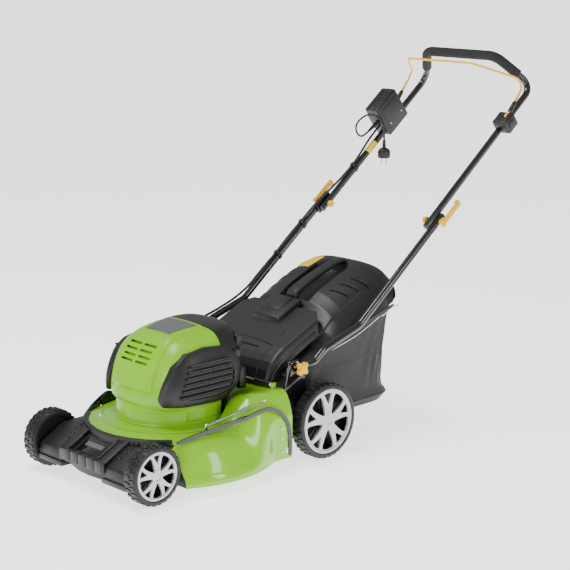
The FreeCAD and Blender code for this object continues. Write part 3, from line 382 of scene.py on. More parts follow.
def refined(node, slot, material, bevel=0.0):
    """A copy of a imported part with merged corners, eased edges and its finish."""
    source = frame["nodes"][node]
    body = source["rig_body"]
    piece = source.copy()
    piece.data = source.data.copy()
    piece.parent = None
    bpy.context.scene.collection.objects.link(piece)
    del piece["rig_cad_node"]
    edit(piece, MERGE, ("select_all", {"action": "SELECT"}),
         ("tris_convert_to_quads", {"face_threshold": 0.7, "shape_threshold": 0.7}))
    if bevel:
        ease(piece, bevel, 2)
    return done(piece, node + "_made", body, slot, material, [node], moved=False)

# %% [markdown]
# ## Pressed deck
# The deck is one steel pressing: a round dome with a bulging wall, which rises at the back into the
# shoulders of the grass chute. A lathe would only give the round part, so a polar grid is used. Each
# spoke of the grid runs from the motor opening out over the shoulder and down to the rim, and its
# outline changes smoothly from the dome's to the chute's towards the rear.

# %% Outline of the deck's wall
DECK_Y, RIM = -0.05, 0.282
DOME_WALL = [(0.0, 0.027), (0.0, 0.036), (0.004, 0.048), (0.010, 0.055), (0.012, 0.058), (0.019, 0.070),
             (0.030, 0.092), (0.043, 0.111), (0.057, 0.124), (0.074, 0.133), (0.094, 0.139), (0.114, 0.142)]
CHUTE_WALL = [(0.0, 0.027), (0.0, 0.05), (0.0, 0.08), (0.0, 0.105), (0.0, 0.12), (0.0, 0.138),
              (0.004, 0.150), (0.018, 0.181), (0.030, 0.195), (0.045, 0.203), (0.060, 0.2035), (0.075, 0.2035)]
MOTOR_RING = [(0.060, 0), (0.105, 0), (0.138, 0), (0.146, 0.03), (0.153, 0.35), (0.160, 0.9)]


def smooth(value, low, high):
    """0 below low, 1 above high, with an eased step between."""
    t = min(1, max(0, (value - low) / (high - low)))
    return t * t * (3 - 2 * t)


def deck_spot(u, v):
    """A point of the deck's outer skin: u goes round, v from the rim in to the motor opening."""
    turn = 2 * math.pi * u
    across, towards_back = math.cos(turn), math.sin(turn)
    edge = max(RIM, min(0.24 / max(abs(across), 0.01), 0.42)) if towards_back > 0 else RIM
    raised = smooth(DECK_Y + edge * towards_back, -0.01, 0.115) if towards_back > 0 else 0
    step = round(v * (len(DOME_WALL) + len(MOTOR_RING) - 1))
    if step < len(DOME_WALL):
        inward, height = ((1 - raised) * a + raised * b for a, b in zip(DOME_WALL[step], CHUTE_WALL[step]))
        reach = edge - inward
    else:
        reach, share = MOTOR_RING[len(DOME_WALL) + len(MOTOR_RING) - 1 - step]
        height = 0.142 + 0.0615 * share * raised
    return Vector((reach * across, DECK_Y + reach * towards_back, height))


# %% Press the deck and cut its openings
deck = skin(120, len(DOME_WALL) + len(MOTOR_RING) - 1, deck_spot, wrap=True)
apply(deck, "SUBSURF", levels=1, render_levels=1)
only(deck)
bpy.ops.object.mode_set(mode="EDIT")
bpy.ops.mesh.select_all(action="SELECT")
bpy.ops.mesh.bisect(plane_co=(0, 0.165, 0), plane_no=(0, 1, 0), clear_outer=True)
bpy.ops.object.mode_set(mode="OBJECT")
apply(deck, "SOLIDIFY", thickness=0.0025, offset=-1)
for side in (1, -1):
    x_low, x_high = sorted((side * 0.184, side * 0.4))
    carve(deck, block((x_low, -0.6, 0), (x_high, -0.196, 0.2)))
rolled_rim = lathe([(0.2795 + 0.0028 * math.cos(a), 0.0285 + 0.0028 * math.sin(a))
                    for a in [math.tau * i / 8 for i in range(8)]], "z", (0, DECK_Y, 0), 160)
for side in (1, -1):
    x_low, x_high = sorted((side * 0.184, side * 0.4))
    carve(rolled_rim, block((x_low, -0.6, 0), (x_high, -0.196, 0.2)))
carve(rolled_rim, block((-0.4, 0.098, 0), (0.4, 0.4, 0.1)))

# %% [markdown]
# ## Wheel wells, rear plate and the embossed ring
# Where the wheels cut into the dome, upright walls close it. They are boxes that keep only what they
# share with a solid dome of the same outline. The ring pressed into the deck's top round the motor is
# a shallow lathe bead, and the rear plate frames the catcher's mouth.

# %% Close the wells and the back
well_walls = []
dome_solid = [(0.0, 0.027)] + [(RIM - 0.001 - a, b - 0.001) for a, b in DOME_WALL] + [(0.0, 0.1405)]
parts = [deck, rolled_rim]
for side in (1, -1):
    for low, high in (((0.181, -0.6), (0.1838, -0.193)), ((0.181, -0.1958), (0.4, -0.193))):
        xs = sorted((side * low[0], side * high[0]))
        wall = block((xs[0], low[1], 0), (xs[1], high[1], 0.2))
        carve(wall, lathe(dome_solid, "z", (0, DECK_Y, 0), 96), operation="INTERSECT")
        well_walls.append(wall)
bead = lathe([(0.176, 0.1405), (0.1785, 0.1438), (0.1815, 0.1438), (0.184, 0.1400)], "z", (0, DECK_Y, 0), 128)
carve(bead, block((-0.4, 0.0, 0), (0.4, 0.4, 0.3)))
rear_frame = slab([(-0.238, 0.06), (0.238, 0.06), (0.238, 0.136), (0.220, 0.178), (0.195, 0.200),
                   (-0.195, 0.200), (-0.220, 0.178), (-0.238, 0.136)], "y", 0.1618, 0.1646)
carve(rear_frame, block((-0.187, 0.1, 0.05), (0.187, 0.2, 0.18)))
parts += [bead, ease(rear_frame, 0.0006, 1)]
for side in (1, -1):
    xs = sorted((side * 0.181, side * 0.186))
    lug = ease(block((xs[0], 0.142, 0.196), (xs[1], 0.158, 0.219)), 0.002, 2)
    parts.append(lug)
    for z in (0.112, 0.084, 0.048):
        slot_x = sorted((side * 0.230, side * 0.250))
        carve(deck, block((slot_x[0], 0.143, z - 0.009), (slot_x[1], 0.150, z + 0.007)))
ARC_TURNS = [math.radians(a) for a in (218, 226, 236, 248, 260, 270, 280, 292, 304, 314, 322)]
nose_cut = slab([(0.2160 * math.cos(a), DECK_Y + 0.2160 * math.sin(a)) for a in ARC_TURNS]
                + [(0.1835, -0.40), (-0.1835, -0.40)], "z", 0.0, 0.2)
carve(deck, nose_cut, keep=True)
carve(rolled_rim, nose_cut)
deck = joined(*parts)
done(deck, "deck_pressing", "deck", "lime_paint", lime_enamel, ["deck_shell"])
print("deck: %d faces" % len(deck.data.polygons))

# %% [markdown]
# ## Motor hood
# The hood is two thin mouldings over the motor, lime in front and charcoal behind, on a round neck.
# Its plan is a rounded square that shrinks as it rises, so each level is a superellipse: one exponent
# turns a circle into a soft square. A raised panel on the nose is pushed out where the points fall
# inside its outline, with a sloping border.

# %% Hood levels and raised nose panel
# Height, half width, front and rear of the plan, and how square its corners are.
HOOD = [(0.186, 0.131, -0.176, 0.060, 2.7), (0.194, 0.138, -0.184, 0.072, 2.8), (0.206, 0.143, -0.183, 0.082, 3.0),
        (0.222, 0.147, -0.180, 0.096, 3.2), (0.240, 0.148, -0.175, 0.108, 3.4), (0.262, 0.147, -0.168, 0.114, 3.5),
        (0.285, 0.143, -0.159, 0.117, 3.6), (0.308, 0.137, -0.149, 0.116, 3.6), (0.328, 0.129, -0.138, 0.113, 3.6),
        (0.344, 0.120, -0.128, 0.109, 3.5), (0.355, 0.111, -0.118, 0.104, 3.4), (0.3625, 0.100, -0.107, 0.097, 3.3),
        (0.3675, 0.086, -0.093, 0.087, 3.2), (0.3705, 0.066, -0.074, 0.070, 3.0), (0.3722, 0.040, -0.046, 0.044, 2.6),
        (0.3730, 0.012, -0.020, 0.014, 2.0), (0.3731, 0.0, -0.004, -0.004, 2.0)]


def hood_spot(u, v, swell=0.0):
    """A point on the hood: u goes round, v from the neck up to the crown; swell offsets it outwards."""
    height, half, front, rear, square = HOOD[round(v * (len(HOOD) - 1))]
    middle, depth = (front + rear) / 2, (rear - front) / 2
    c, s = math.cos(2 * math.pi * u), math.sin(2 * math.pi * u)
    x = (half + swell) * math.copysign(abs(c) ** (2 / square), c)
    y = middle + (depth + swell) * math.copysign(abs(s) ** (2 / square), s)
    slope = 0.085 * (y - 0.02) * smooth(height, 0.30, 0.37)
    return Vector((x, y, height + slope + (swell if height > 0.36 else 0)))


def raise_panel(shell):
    """Push the nose panel of the front moulding out, with a crisp bevel all round it."""
    for vertex in shell.data.vertices:
        x, y, z = vertex.co
        half = 0.082 - 0.12 * max(0, z - 0.30) * smooth(z, 0.28, 0.36)
        inside = 1 - smooth(abs(x), half - 0.006, half)
        inside *= smooth(z, 0.226, 0.236) * (1 - smooth(y, 0.004, 0.014))
        if inside > 0:
            lean = smooth(z, 0.30, 0.37)
            vertex.co += inside * 0.008 * Vector((0, -(1 - lean), 0.25 + 0.75 * lean))


def hood_shell(swell, low_y, high_y):
    """A thin moulding of the hood between two upright planes."""
    shell = skin(144, len(HOOD) - 1, lambda u, v: hood_spot(u, v, swell), wrap=True)
    apply(shell, "SUBSURF", levels=2, render_levels=2)
    if low_y < -0.3:
        raise_panel(shell)
    only(shell)
    bpy.ops.object.mode_set(mode="EDIT")
    for edge, normal in ((low_y, (0, -1, 0)), (high_y, (0, 1, 0))):
        bpy.ops.mesh.select_all(action="SELECT")
        bpy.ops.mesh.bisect(plane_co=(0, edge, 0), plane_no=normal, clear_outer=True)
    bpy.ops.object.mode_set(mode="OBJECT")
    return apply(shell, "SOLIDIFY", thickness=0.003, offset=-1)


# %% Lime nose with its vents and neck
nose = hood_shell(0.0, -0.5, 0.026)
for row in range(4):
    z = 0.296 + 0.0135 * row
    for x_low, x_high in ((-0.060, -0.012), (-0.002, 0.046)):
        lean = 0.004 * (row % 2)
        vent = ease(block((x_low + lean, -0.2, z), (x_high + lean, -0.09, z + 0.0058)), 0.0024, 2, 60)
        carve(nose, vent)
neck = lathe([(0.137, 0.1415), (0.1425, 0.1415), (0.1425, 0.1455), (0.1400, 0.1475), (0.1400, 0.181),
              (0.1345, 0.192), (0.1315, 0.192), (0.137, 0.181)], "z", (0, DECK_Y, 0), 128)
carve(neck, block((0.075, -0.102, 0.153), (0.2, 0.005, 0.178)))
carve(neck, block((-0.4, 0.0262, 0.1), (0.4, 0.4, 0.3)))
niche = lathe([(0.1335, 0.150), (0.1365, 0.150), (0.1365, 0.181), (0.1335, 0.181)], "z", (0, DECK_Y, 0), 96)
carve(niche, block((-0.4, 0.0262, 0.1), (0.4, 0.4, 0.3)))
nose = joined(nose, neck, niche)
# %% [markdown]
# ## Film label on the crown
# A thin printed film lies on the hood's crown. A small grid is dropped straight down on to the nose
# with a Shrinkwrap, so it follows every curve. It is plain grey, with no motif and no lettering.

# %% Crown label
def laid_label(outline, target, depth, direction="z"):
    """A thin film whose grid is projected on to a piece."""
    bpy.ops.object.select_all(action="DESELECT")

    def corner(u, v):
        (ax, ay), (bx, by), (cx, cy), (dx, dy) = outline
        x = (1 - v) * ((1 - u) * ax + u * bx) + v * ((1 - u) * dx + u * cx)
        y = (1 - v) * ((1 - u) * ay + u * by) + v * ((1 - u) * dy + u * cy)
        return Vector((x, y, depth))

    film = skin(24, 24, corner)
    apply(film, "SHRINKWRAP", target=target, wrap_method="PROJECT", use_project_z=True,
          use_negative_direction=True, use_positive_direction=True, offset=0.0007)
    return apply(film, "SOLIDIFY", thickness=0.0005, offset=1)


crown = laid_label([(-0.046, -0.088), (0.046, -0.088), (0.060, -0.004), (-0.060, -0.004)],
                   nose, 0.5)
done(crown, "crown_film", "deck", "dark_plastic", label_grey)
done(nose, "hood_nose", "deck", "lime_plastic", lime_abs, ["hood_front"])
inner = skin(96, len(HOOD) - 1, lambda u, v: hood_spot(u, v, -0.009), wrap=True)
apply(inner, "SOLIDIFY", thickness=0.002, offset=-1)
done(inner, "hood_air_baffle", "deck", "lime_plastic", lime_abs)

# %% [markdown]
# ## Charcoal rear moulding
# The rear half overlaps the nose by a couple of millimetres and carries upright ribs and two clip
# tabs. It is the same shell offset outwards, with small eased blocks for the ribs and tabs.

# %% Rear moulding, ribs and tabs
tail = hood_shell(0.0022, 0.018, 0.5)
tail_neck = lathe([(0.137, 0.1415), (0.1425, 0.1415), (0.1420, 0.181), (0.1370, 0.192), (0.1335, 0.192),
                   (0.137, 0.181)], "z", (0, DECK_Y, 0), 128)
carve(tail_neck, block((-0.4, -0.5, 0.1), (0.4, 0.0262, 0.3)))
extras = [tail_neck]
for side in (1, -1):
    for (x, y), (z_low, z_high) in (((0.111, 0.088), (0.318, 0.346)), ((0.136, 0.062), (0.296, 0.318)),
                                    ((0.124, 0.088), (0.205, 0.262))):
        tab = block((side * x - 0.009, y - 0.009, z_low), (side * x + 0.009, y + 0.012, z_high))
        extras.append(ease(tab, 0.003, 3))
for x in (-0.075, -0.045, -0.015, 0.015, 0.045, 0.075):
    rib = slab([(0.085, 0.215), (0.119, 0.235), (0.123, 0.27), (0.121, 0.315), (0.105, 0.345), (0.085, 0.345)],
               "x", x - 0.002, x + 0.002)
    extras.append(ease(rib, 0.001, 2))
done(joined(tail, *extras), "hood_tail", "deck", "black_plastic", black_plastic, ["hood_rear"])

# %% [markdown]
# ## Louvred side covers
# A domed cover on each flank lets the motor breathe. The plate is drawn as an outline, eased all
# round, hollowed by a slightly smaller pocket, and filled with six tilted slats.

# %% Side covers
COVER = [(-0.180, 0.219), (-0.165, 0.201), (-0.020, 0.194), (0.030, 0.197), (0.064, 0.232), (0.070, 0.276),
         (0.054, 0.312), (0.020, 0.333), (-0.040, 0.338), (-0.100, 0.328), (-0.136, 0.300), (-0.166, 0.252)]
POCKET = [(-0.146, 0.226), (-0.136, 0.216), (-0.020, 0.212), (0.020, 0.218), (0.038, 0.240), (0.042, 0.276),
          (0.030, 0.300), (0.006, 0.312), (-0.040, 0.316), (-0.090, 0.310), (-0.112, 0.292), (-0.136, 0.252)]


def cover():
    """The left cover: plate, pocket, slats."""
    plate = ease(slab(COVER, "x", 0.100, 0.1585), 0.012, 4, 50)
    swollen = skin(96, len(HOOD) - 1, lambda u, v: hood_spot(u, v, 0.011), wrap=True)
    carve(plate, swollen, operation="INTERSECT")
    carve(plate, slab(POCKET, "x", 0.1505, 0.2))
    pieces = [ease(plate, 0.0012, 2, 40)]
    for row in range(6):
        z = 0.2265 + 0.0158 * row
        front = -0.138 + 0.0065 * row
        rear = 0.030 + 0.004 * min(row, 2) - 0.007 * max(0, row - 3)
        slat = slab([(0.149, z - 0.007), (0.1592, z - 0.0015), (0.1592, z + 0.0025), (0.149, z + 0.001)],
                    "y", front, rear)
        pieces.append(ease(slat, 0.0016, 2, 30))
    return joined(*pieces)


left_cover = cover()
right_cover = twin(left_cover, FLIP_X)
done(left_cover, "hood_cover_near", "deck", "dark_plastic", grained_plastic, ["hood_cover_left"])
done(right_cover, "hood_cover_far", "deck", "dark_plastic", grained_plastic, ["hood_cover_right"])


# %% [markdown]
# ## Wheels
# Each wheel is one black moulding with a silver dish clipped into its face. The tread is modelled as
# one lug, copied round the tyre in two staggered rows. The dish starts as a lathe form, and its
# windows are cut by rounded outlines: five wide ones between the spokes and five small ones in the forks.

# %% Wheel helpers
def about_x(angle):
    return Matrix.Rotation(angle, 4, "X")


def polar(radius, degrees):
    """A point in the wheel's plane."""
    return (radius * math.cos(math.radians(degrees)), radius * math.sin(math.radians(degrees)))


def rounded_cutter(corners, low, high, radius=0.0025):
    """A cutter across the wheel with rounded corners."""
    return ease(slab(corners, "x", low, high), radius, 3, 30)


def tyre(radius, width, lugs):
    """Hub, ribbed web, rim and tread of a wheel whose inner face is at x = 0."""
    crown = radius - 0.0026
    body = lathe([(0.0052, 0.004), (0.015, 0.004), (0.015, 0.006), (radius - 0.016, 0.006),
                  (radius - 0.016, 0.0), (radius - 0.008, 0.0), (crown - 0.001, 0.002), (crown, 0.005),
                  (crown, width - 0.005), (crown - 0.001, width - 0.002), (radius - 0.008, width),
                  (radius - 0.012, width), (radius - 0.0135, width - 0.002), (radius - 0.0142, width - 0.013),
                  (radius - 0.018, 0.011), (0.015, 0.011), (0.015, width - 0.012), (0.0052, width - 0.012)],
                 "x", steps=96)
    pieces = [body]
    half = width / 2
    lug = slab([(0.0035, -0.0052), (half + 0.002, -0.0010), (half + 0.002, 0.0046), (0.0035, 0.0072)],
               "z", crown - 0.002, radius)
    ease(lug, 0.0012, 1, 30)
    for i in range(lugs):
        turn = math.tau * i / lugs
        pieces.append(twin(lug, about_x(turn)))
        pieces.append(twin(lug, about_x(turn + math.pi / lugs) @ Matrix.Translation((width, 0, 0)) @ FLIP_X))
    bpy.data.objects.remove(lug)
    for face, reach in ((0.0035, 0.006), (0.011, width - 0.016)):
        rib = block((face, -0.0009, 0.014), (face + 0.0028, 0.0009, radius - 0.0165))
        for i in range(20):
            pieces.append(twin(rib, about_x(math.tau * i / 20)))
        bpy.data.objects.remove(rib)
    return joined(*pieces)


def dish(radius, width):
    """The silver five-spoke dish, dished towards the hub."""
    rim = radius - 0.0143
    face = width - 0.0015
    plate = lathe([(0.0003, width - 0.0115), (0.013, width - 0.0115), (0.015, width - 0.009),
                   (rim - 0.001, width - 0.009), (rim, width - 0.006), (rim, face - 0.0005),
                   (rim - 0.002, face), (rim - 0.006, face), (rim - 0.0085, face - 0.0022),
                   (rim * 0.62, face - 0.0010), (0.018, face - 0.0004), (0.0155, face + 0.0004),
                   (0.0110, face + 0.0004), (0.0095, face - 0.0014), (0.0003, face - 0.0014)], "x", steps=120)
    for i in range(5):
        gap, fork = 90 + 36 + 72 * i, 90 + 72 * i
        wide = [polar(rim * 0.26, gap - 8), polar(rim * 0.52, gap - 17), polar(rim * 0.76, gap - 18),
                polar(rim * 0.885, gap - 15), polar(rim * 0.895, gap), polar(rim * 0.885, gap + 15),
                polar(rim * 0.76, gap + 18), polar(rim * 0.52, gap + 17), polar(rim * 0.26, gap + 8)]
        small = [polar(rim * 0.52, fork), polar(rim * 0.87, fork - 11), polar(rim * 0.89, fork),
                 polar(rim * 0.87, fork + 11)]
        carve(plate, rounded_cutter(wide, 0, width + 0.01, 0.003), rounded_cutter(small, 0, width + 0.01, 0.0015))
        hole = lathe([(0.0001, face - 0.003), (0.0013, face - 0.003), (0.0013, face + 0.01),
                      (0.0001, face + 0.01)], "x", (0,) + polar(rim * 0.30, fork), 12)
        carve(plate, hole)
    return ease(plate, 0.0007, 2, 40)


# %% Four wheels
WHEELS = {"front": (0.076, 0.044, 0.233, -0.28, 26), "rear": (0.102, 0.042, 0.260, 0.28, 34)}
for end, (radius, width, outer, y, lugs) in WHEELS.items():
    set_left = Matrix.Translation((outer - width, y, radius))
    set_right = FLIP_X @ set_left
    rubber, trim = tyre(radius, width, lugs), dish(radius, width)
    for side, place in (("left", set_left), ("right", set_right)):
        name = "%s_wheel_%s" % (end, side)
        done(twin(rubber, place), name + "_tread", name, "black_plastic", wheel_plastic, [name])
        done(twin(trim, place), name + "_dish", name, "silver_trim", silver_paint, ["%s_trim_%s" % (end, side)])
    print(end, "wheel:", len(rubber.data.polygons), "tyre faces,", len(trim.data.polygons), "dish faces")
    bpy.data.objects.remove(rubber)
    bpy.data.objects.remove(trim)

# %% [markdown]
# ## Front bumper frame
# A ribbed plastic moulding wraps the front of the dome. It is a set of easy blocks: a bumper bar with
# five raised pads, a sloping rail on each side, a box by each wheel with a groove along its foot, and a
# collar that follows the dome, whose front edge stops under the collar.

# %% Bumper, rails and collar
front_pieces = []
bar = ease(slab([(-0.341, 0.057), (-0.341, 0.0885), (-0.322, 0.0885), (-0.316, 0.070), (-0.316, 0.057)],
                "x", -0.094, 0.094), 0.0025, 2)
front_pieces.append(bar)
for i in range(5):
    x = -0.0765 + 0.0335 * i
    front_pieces.append(ease(block((x - 0.0002, -0.3425, 0.060), (x + 0.0290, -0.3195, 0.0902)), 0.0022, 2))
for side in (1, -1):
    rail_x = sorted((side * 0.060, side * 0.094))
    rail = slab([(-0.338, 0.058), (-0.338, 0.0900), (-0.330, 0.0925), (-0.262, 0.1290), (-0.200, 0.1325),
                 (-0.200, 0.060)], "x", *rail_x)
    front_pieces.append(ease(rail, 0.0028, 3))
    lip_x = sorted((side * 0.0590, side * 0.0640))
    front_pieces.append(ease(slab([(-0.338, 0.084), (-0.333, 0.0945), (-0.264, 0.1315), (-0.250, 0.1325),
                                   (-0.250, 0.120)], "x", *lip_x), 0.0012, 2))
    cheek_x = sorted((side * 0.090, side * 0.183))
    cheek = slab([(-0.341, 0.056), (-0.334, 0.0815), (-0.278, 0.113), (-0.262, 0.1195), (-0.170, 0.124),
                  (-0.170, 0.060), (-0.280, 0.056)], "x", *cheek_x)
    front_pieces.append(ease(cheek, 0.0055, 3))
    foot_x = sorted((side * 0.084, side * 0.183))
    foot = slab([(-0.3415, 0.037), (-0.3425, 0.0515), (-0.285, 0.0515), (-0.276, 0.037)], "x", *foot_x)
    front_pieces.append(ease(foot, 0.003, 2))
    neck_x = sorted((side * 0.088, side * 0.181))
    front_pieces.append(block((neck_x[0], -0.337, 0.048), (neck_x[1], -0.290, 0.060)))
    for i in range(4):
        y = -0.300 + 0.017 * i
        z = 0.099 + 0.0085 * i
        step_x = sorted((side * 0.101, side * 0.117))
        step = ease(block((step_x[0], y - 0.0055, z - 0.012), (step_x[1], y + 0.0055, z + 0.0035)), 0.0012, 2)
        front_pieces.append(step)
floor_pan = slab([(-0.330, 0.066), (-0.330, 0.0830), (-0.258, 0.1235), (-0.236, 0.1270), (-0.236, 0.066)],
                 "x", -0.064, 0.064)
front_pieces.append(floor_pan)
# Painted shade: the deck's front wall is cut away, and this dark curved strip in the bumper's charcoal plastic stands
# where only shadow lies under the bumper bar.
apron = slab([(0.268 * math.cos(a), DECK_Y + 0.268 * math.sin(a)) for a in ARC_TURNS[1:-1]]
             + [(0.262 * math.cos(a), DECK_Y + 0.262 * math.sin(a)) for a in reversed(ARC_TURNS[1:-1])],
             "z", 0.030, 0.075)
front_pieces.append(apron)
collar = slab([(0.228 * math.cos(a), DECK_Y + 0.228 * math.sin(a)) for a in ARC_TURNS]
              + [(0.2130 * math.cos(a), DECK_Y + 0.2135 * math.sin(a)) for a in reversed(ARC_TURNS)],
              "z", 0.095, 0.1345)
carve(collar, block((-0.1835, -0.6, 0), (0.1835, 0, 0.3)), operation="INTERSECT")
front_pieces.append(ease(collar, 0.003, 2))
# The wheel-well walls join the dark bumper moulding. Their dark colour is partly the frame's plastic wrapping the
# wells and partly painted shade where the wells lie in shadow.
bumper = joined(*front_pieces, *well_walls)
done(bumper, "bumper_frame", "deck", "dark_plastic", grained_plastic, ["front_frame"])
badge = slab([(-0.322, 0.0872), (-0.322, 0.0887), (-0.268, 0.1191), (-0.268, 0.1176)], "x", -0.047, 0.047)
done(ease(badge, 0.0004, 1), "bumper_badge", "deck", "black_plastic", badge_gloss)
stripe = slab([(-0.302, 0.0996), (-0.302, 0.1006), (-0.290, 0.10735), (-0.290, 0.1063)], "x", -0.034, 0.034)
done(stripe, "badge_motif_bar", "deck", "silver_trim", label_grey)
print("bumper frame: %d faces" % len(bumper.data.polygons))

# %% [markdown]
# ## Height strap, coil spring and lever
# A flat black strap climbs the deck's left shoulder from the front axle to the rear, and a coil spring
# beside it balances the deck's weight. The spring is one small ring of wire, spun with a rise.

# %% Strap, edgings and spring
def ribbon(points, half_width, thickness, side_way):
    """A flat strip that follows points, with its width across the given direction."""
    outline = []
    for i, spot in enumerate(points):
        ahead = Vector(points[min(i + 1, len(points) - 1)]) - Vector(points[max(i - 1, 0)])
        outline.append((Vector(spot), ahead.cross(Vector(side_way)).normalized()))

    def spot(u, v):
        centre, up = outline[round(u * (len(points) - 1))]
        return centre + up * half_width * (2 * v - 1)

    strip = skin(len(points) - 1, 1, spot)
    apply(strip, "SUBSURF", levels=2, render_levels=2)
    apply(strip, "SOLIDIFY", thickness=thickness, offset=0)
    return ease(strip, 0.0006, 2, 50)


link = ribbon([(0.189, -0.188, 0.128), (0.198, -0.142, 0.136), (0.209, -0.084, 0.146), (0.219, -0.030, 0.155),
               (0.2305, 0.032, 0.166)], 0.0062, 0.003, (1, 0, 0))
done(link, "height_strap", "height_link", "black_plastic", badge_gloss, ["height_link"])
EDGING = [(-0.012, 0.1645), (0.016, 0.1690), (0.042, 0.1735), (0.070, 0.1765), (0.094, 0.1715), (0.118, 0.158), (0.136, 0.140), (0.148, 0.119),
          (0.1535, 0.098), (0.155, 0.066), (0.155, 0.031)]
for side, word in ((1, "left"), (-1, "right")):
    edging = ribbon([(side * 0.2418, y, z) for y, z in EDGING], 0.0058, 0.0032, (1, 0, 0))
    done(edging, "shoulder_edging_" + word, "deck", "black_plastic", badge_gloss, ["edging_" + word])


def coil(start, end, radius, wire, turns, steps=14):
    """A helical spring between two points: rings of wire swept up a screw."""
    axis = Vector(end) - Vector(start)
    columns = turns * steps

    def spot(u, v):
        swing, ring = math.tau * turns * u, math.tau * v
        reach = radius + wire * math.cos(ring)
        return Vector((reach * math.cos(swing), reach * math.sin(swing),
                       axis.length * u + wire * math.sin(ring)))

    spring = skin(columns, 6, spot, wrap=True)
    spring.data.transform(Matrix.Translation(start) @ axis.to_track_quat("Z", "Y").to_matrix().to_4x4())
    return spring


spring = coil((0.198, -0.092, 0.158), (0.216, 0.084, 0.187), 0.0034, 0.0009, 44)
hooks = [ease(block((x - 0.001, y - 0.004, z - 0.012), (x + 0.001, y + 0.004, z + 0.005)), 0.0006, 1)
         for x, y, z in ((0.1975, -0.094, 0.158), (0.2165, 0.087, 0.188))]
done(joined(spring, *hooks), "height_spring", "deck", "spring_steel", spring_wire, ["link_spring"])

# %% [markdown]
# ## Height lever, quadrant and axles
# These steel and plastic pieces already have their true outline, so a merged copy with eased edges is
# enough. The lever gets a loop of flat strip over its arm, which is what a thumb pushes.

# %% Lever and running gear
refined("height_quadrant", "black_plastic", black_plastic, 0.001)
refined("height_lever", "black_tube", black_coat, 0.0008)
thumb_loop = ribbon([(-0.2125, -0.090, 0.162), (-0.2125, -0.122, 0.146), (-0.2125, -0.150, 0.128),
                     (-0.2125, -0.168, 0.110)], 0.0045, 0.004, (1, 0, 0))
done(thumb_loop, "lever_thumb_loop", "height_lever", "black_tube", black_plastic)
for node in ("front_axle", "rear_axle", "flap_hinge_rod"):
    refined(node, "zinc_steel", zinc_plate)
for side in ("left", "right"):
    refined("handle_bracket_" + side, "black_tube", black_coat)

# %% [markdown]
# ## Rear flap
# The flap is a rounded plastic cover that leans on the catcher. A flat grid is folded over its profile
# and rolled down along both sides; then zones of it are pushed in or out with short, steep borders.
# That gives the panel recess, the arched step and the angled rear corners in one continuous skin.

# %% Flap skin
FLAP_PROFILE = [(0.146, 0.206), (0.150, 0.220), (0.158, 0.242), (0.172, 0.262), (0.190, 0.279), (0.215, 0.295),
                (0.260, 0.3155), (0.310, 0.3385), (0.350, 0.3565), (0.366, 0.3635)]


def along_profile(profile, share):
    """A point at a share of the way along a run of points."""
    lengths = [math.dist(a, b) for a, b in zip(profile, profile[1:])]
    left = share * sum(lengths)
    for (a, b), length in zip(zip(profile, profile[1:]), lengths):
        if left <= length:
            return tuple(p + (q - p) * left / length for p, q in zip(a, b))
        left -= length
    return profile[-1]


def flap_spot(u, v):
    x = 0.172 * (2 * u - 1)
    y, z = along_profile(FLAP_PROFILE, v)
    y2, z2 = along_profile(FLAP_PROFILE, min(1, v + 0.01))
    y1, z1 = along_profile(FLAP_PROFILE, max(0, v - 0.01))
    out = Vector((0, z1 - z2, y2 - y1)).normalized()
    roll = smooth(abs(x), 0.142, 0.176)
    depth = 0.030 * roll * roll
    panel = (1 - smooth(abs(x + 0.030), 0.096, 0.099)) * smooth(v, 0.07, 0.08) * (1 - smooth(v, 0.36, 0.37))
    arch = 0.455 - 0.06 * abs((x + 0.02) / 0.16) ** 2
    step = (1 - smooth(v, arch - 0.006, arch)) * (1 - smooth(abs(x + 0.02), 0.128, 0.133))
    depth += 0.0035 * panel + 0.0025 * step
    return Vector((x, y, z)) - out * depth


flap = skin(180, 150, flap_spot)
corner_plan = [(-0.18, 0.10), (0.18, 0.10), (0.18, 0.318), (0.118, 0.372), (-0.118, 0.372), (-0.18, 0.318)]
apply(flap, "SOLIDIFY", thickness=0.0035, offset=-1)
carve(flap, slab(corner_plan, "z", 0.1, 0.5), operation="INTERSECT")
extras = [flap]
grip = slab([(0.292, 0.318), (0.296, 0.3445), (0.330, 0.3615), (0.384, 0.3835), (0.388, 0.376), (0.384, 0.362),
             (0.300, 0.320)], "x", -0.062, 0.046)
extras.append(ease(grip, 0.0045, 3))
cap = slab([(0.318, 0.345), (0.320, 0.3600), (0.378, 0.3850), (0.378, 0.370)], "x", -0.050, 0.018)
extras.append(ease(cap, 0.002, 2))
for x_low, x_high in ((-0.172, -0.112), (0.112, 0.172)):
    extras.append(lathe([(0.0033, x_low), (0.0066, x_low), (0.0066, x_high), (0.0033, x_high)], "x",
                        (0, 0.150, 0.212), 32))
for side in (1, -1):
    xs = sorted((side * 0.168, side * 0.1718))
    cheek = slab([(0.148, 0.208), (0.160, 0.236), (0.190, 0.262), (0.262, 0.300), (0.318, 0.326),
                  (0.330, 0.316), (0.225, 0.258), (0.185, 0.214)], "x", *xs)
    extras.append(ease(cheek, 0.0015, 2))
line = block((0.100, 0.252, 0.296), (0.1015, 0.292, 0.322))
carve(flap, line)
done(joined(*extras), "flap_cover", "flap", "dark_plastic", grained_plastic, ["rear_flap"])
coils = []
for start in (0.1725, -0.1795):
    coils.append(coil((start, 0.150, 0.212), (start + 0.007, 0.150, 0.212), 0.0052, 0.0009, 4))
done(joined(*coils), "flap_coils", "deck", "spring_steel", spring_wire, ["flap_springs"])

# %% [markdown]
# ## Catcher lid
# The lid is a crowned plastic shell with a deep slot for a hand under the carry handle. A flat grid is
# lifted to the lid's arch. Where the slot, the side steps and the border line fall, the same grid is
# pushed down, so the surface stays in one piece as a moulding is.

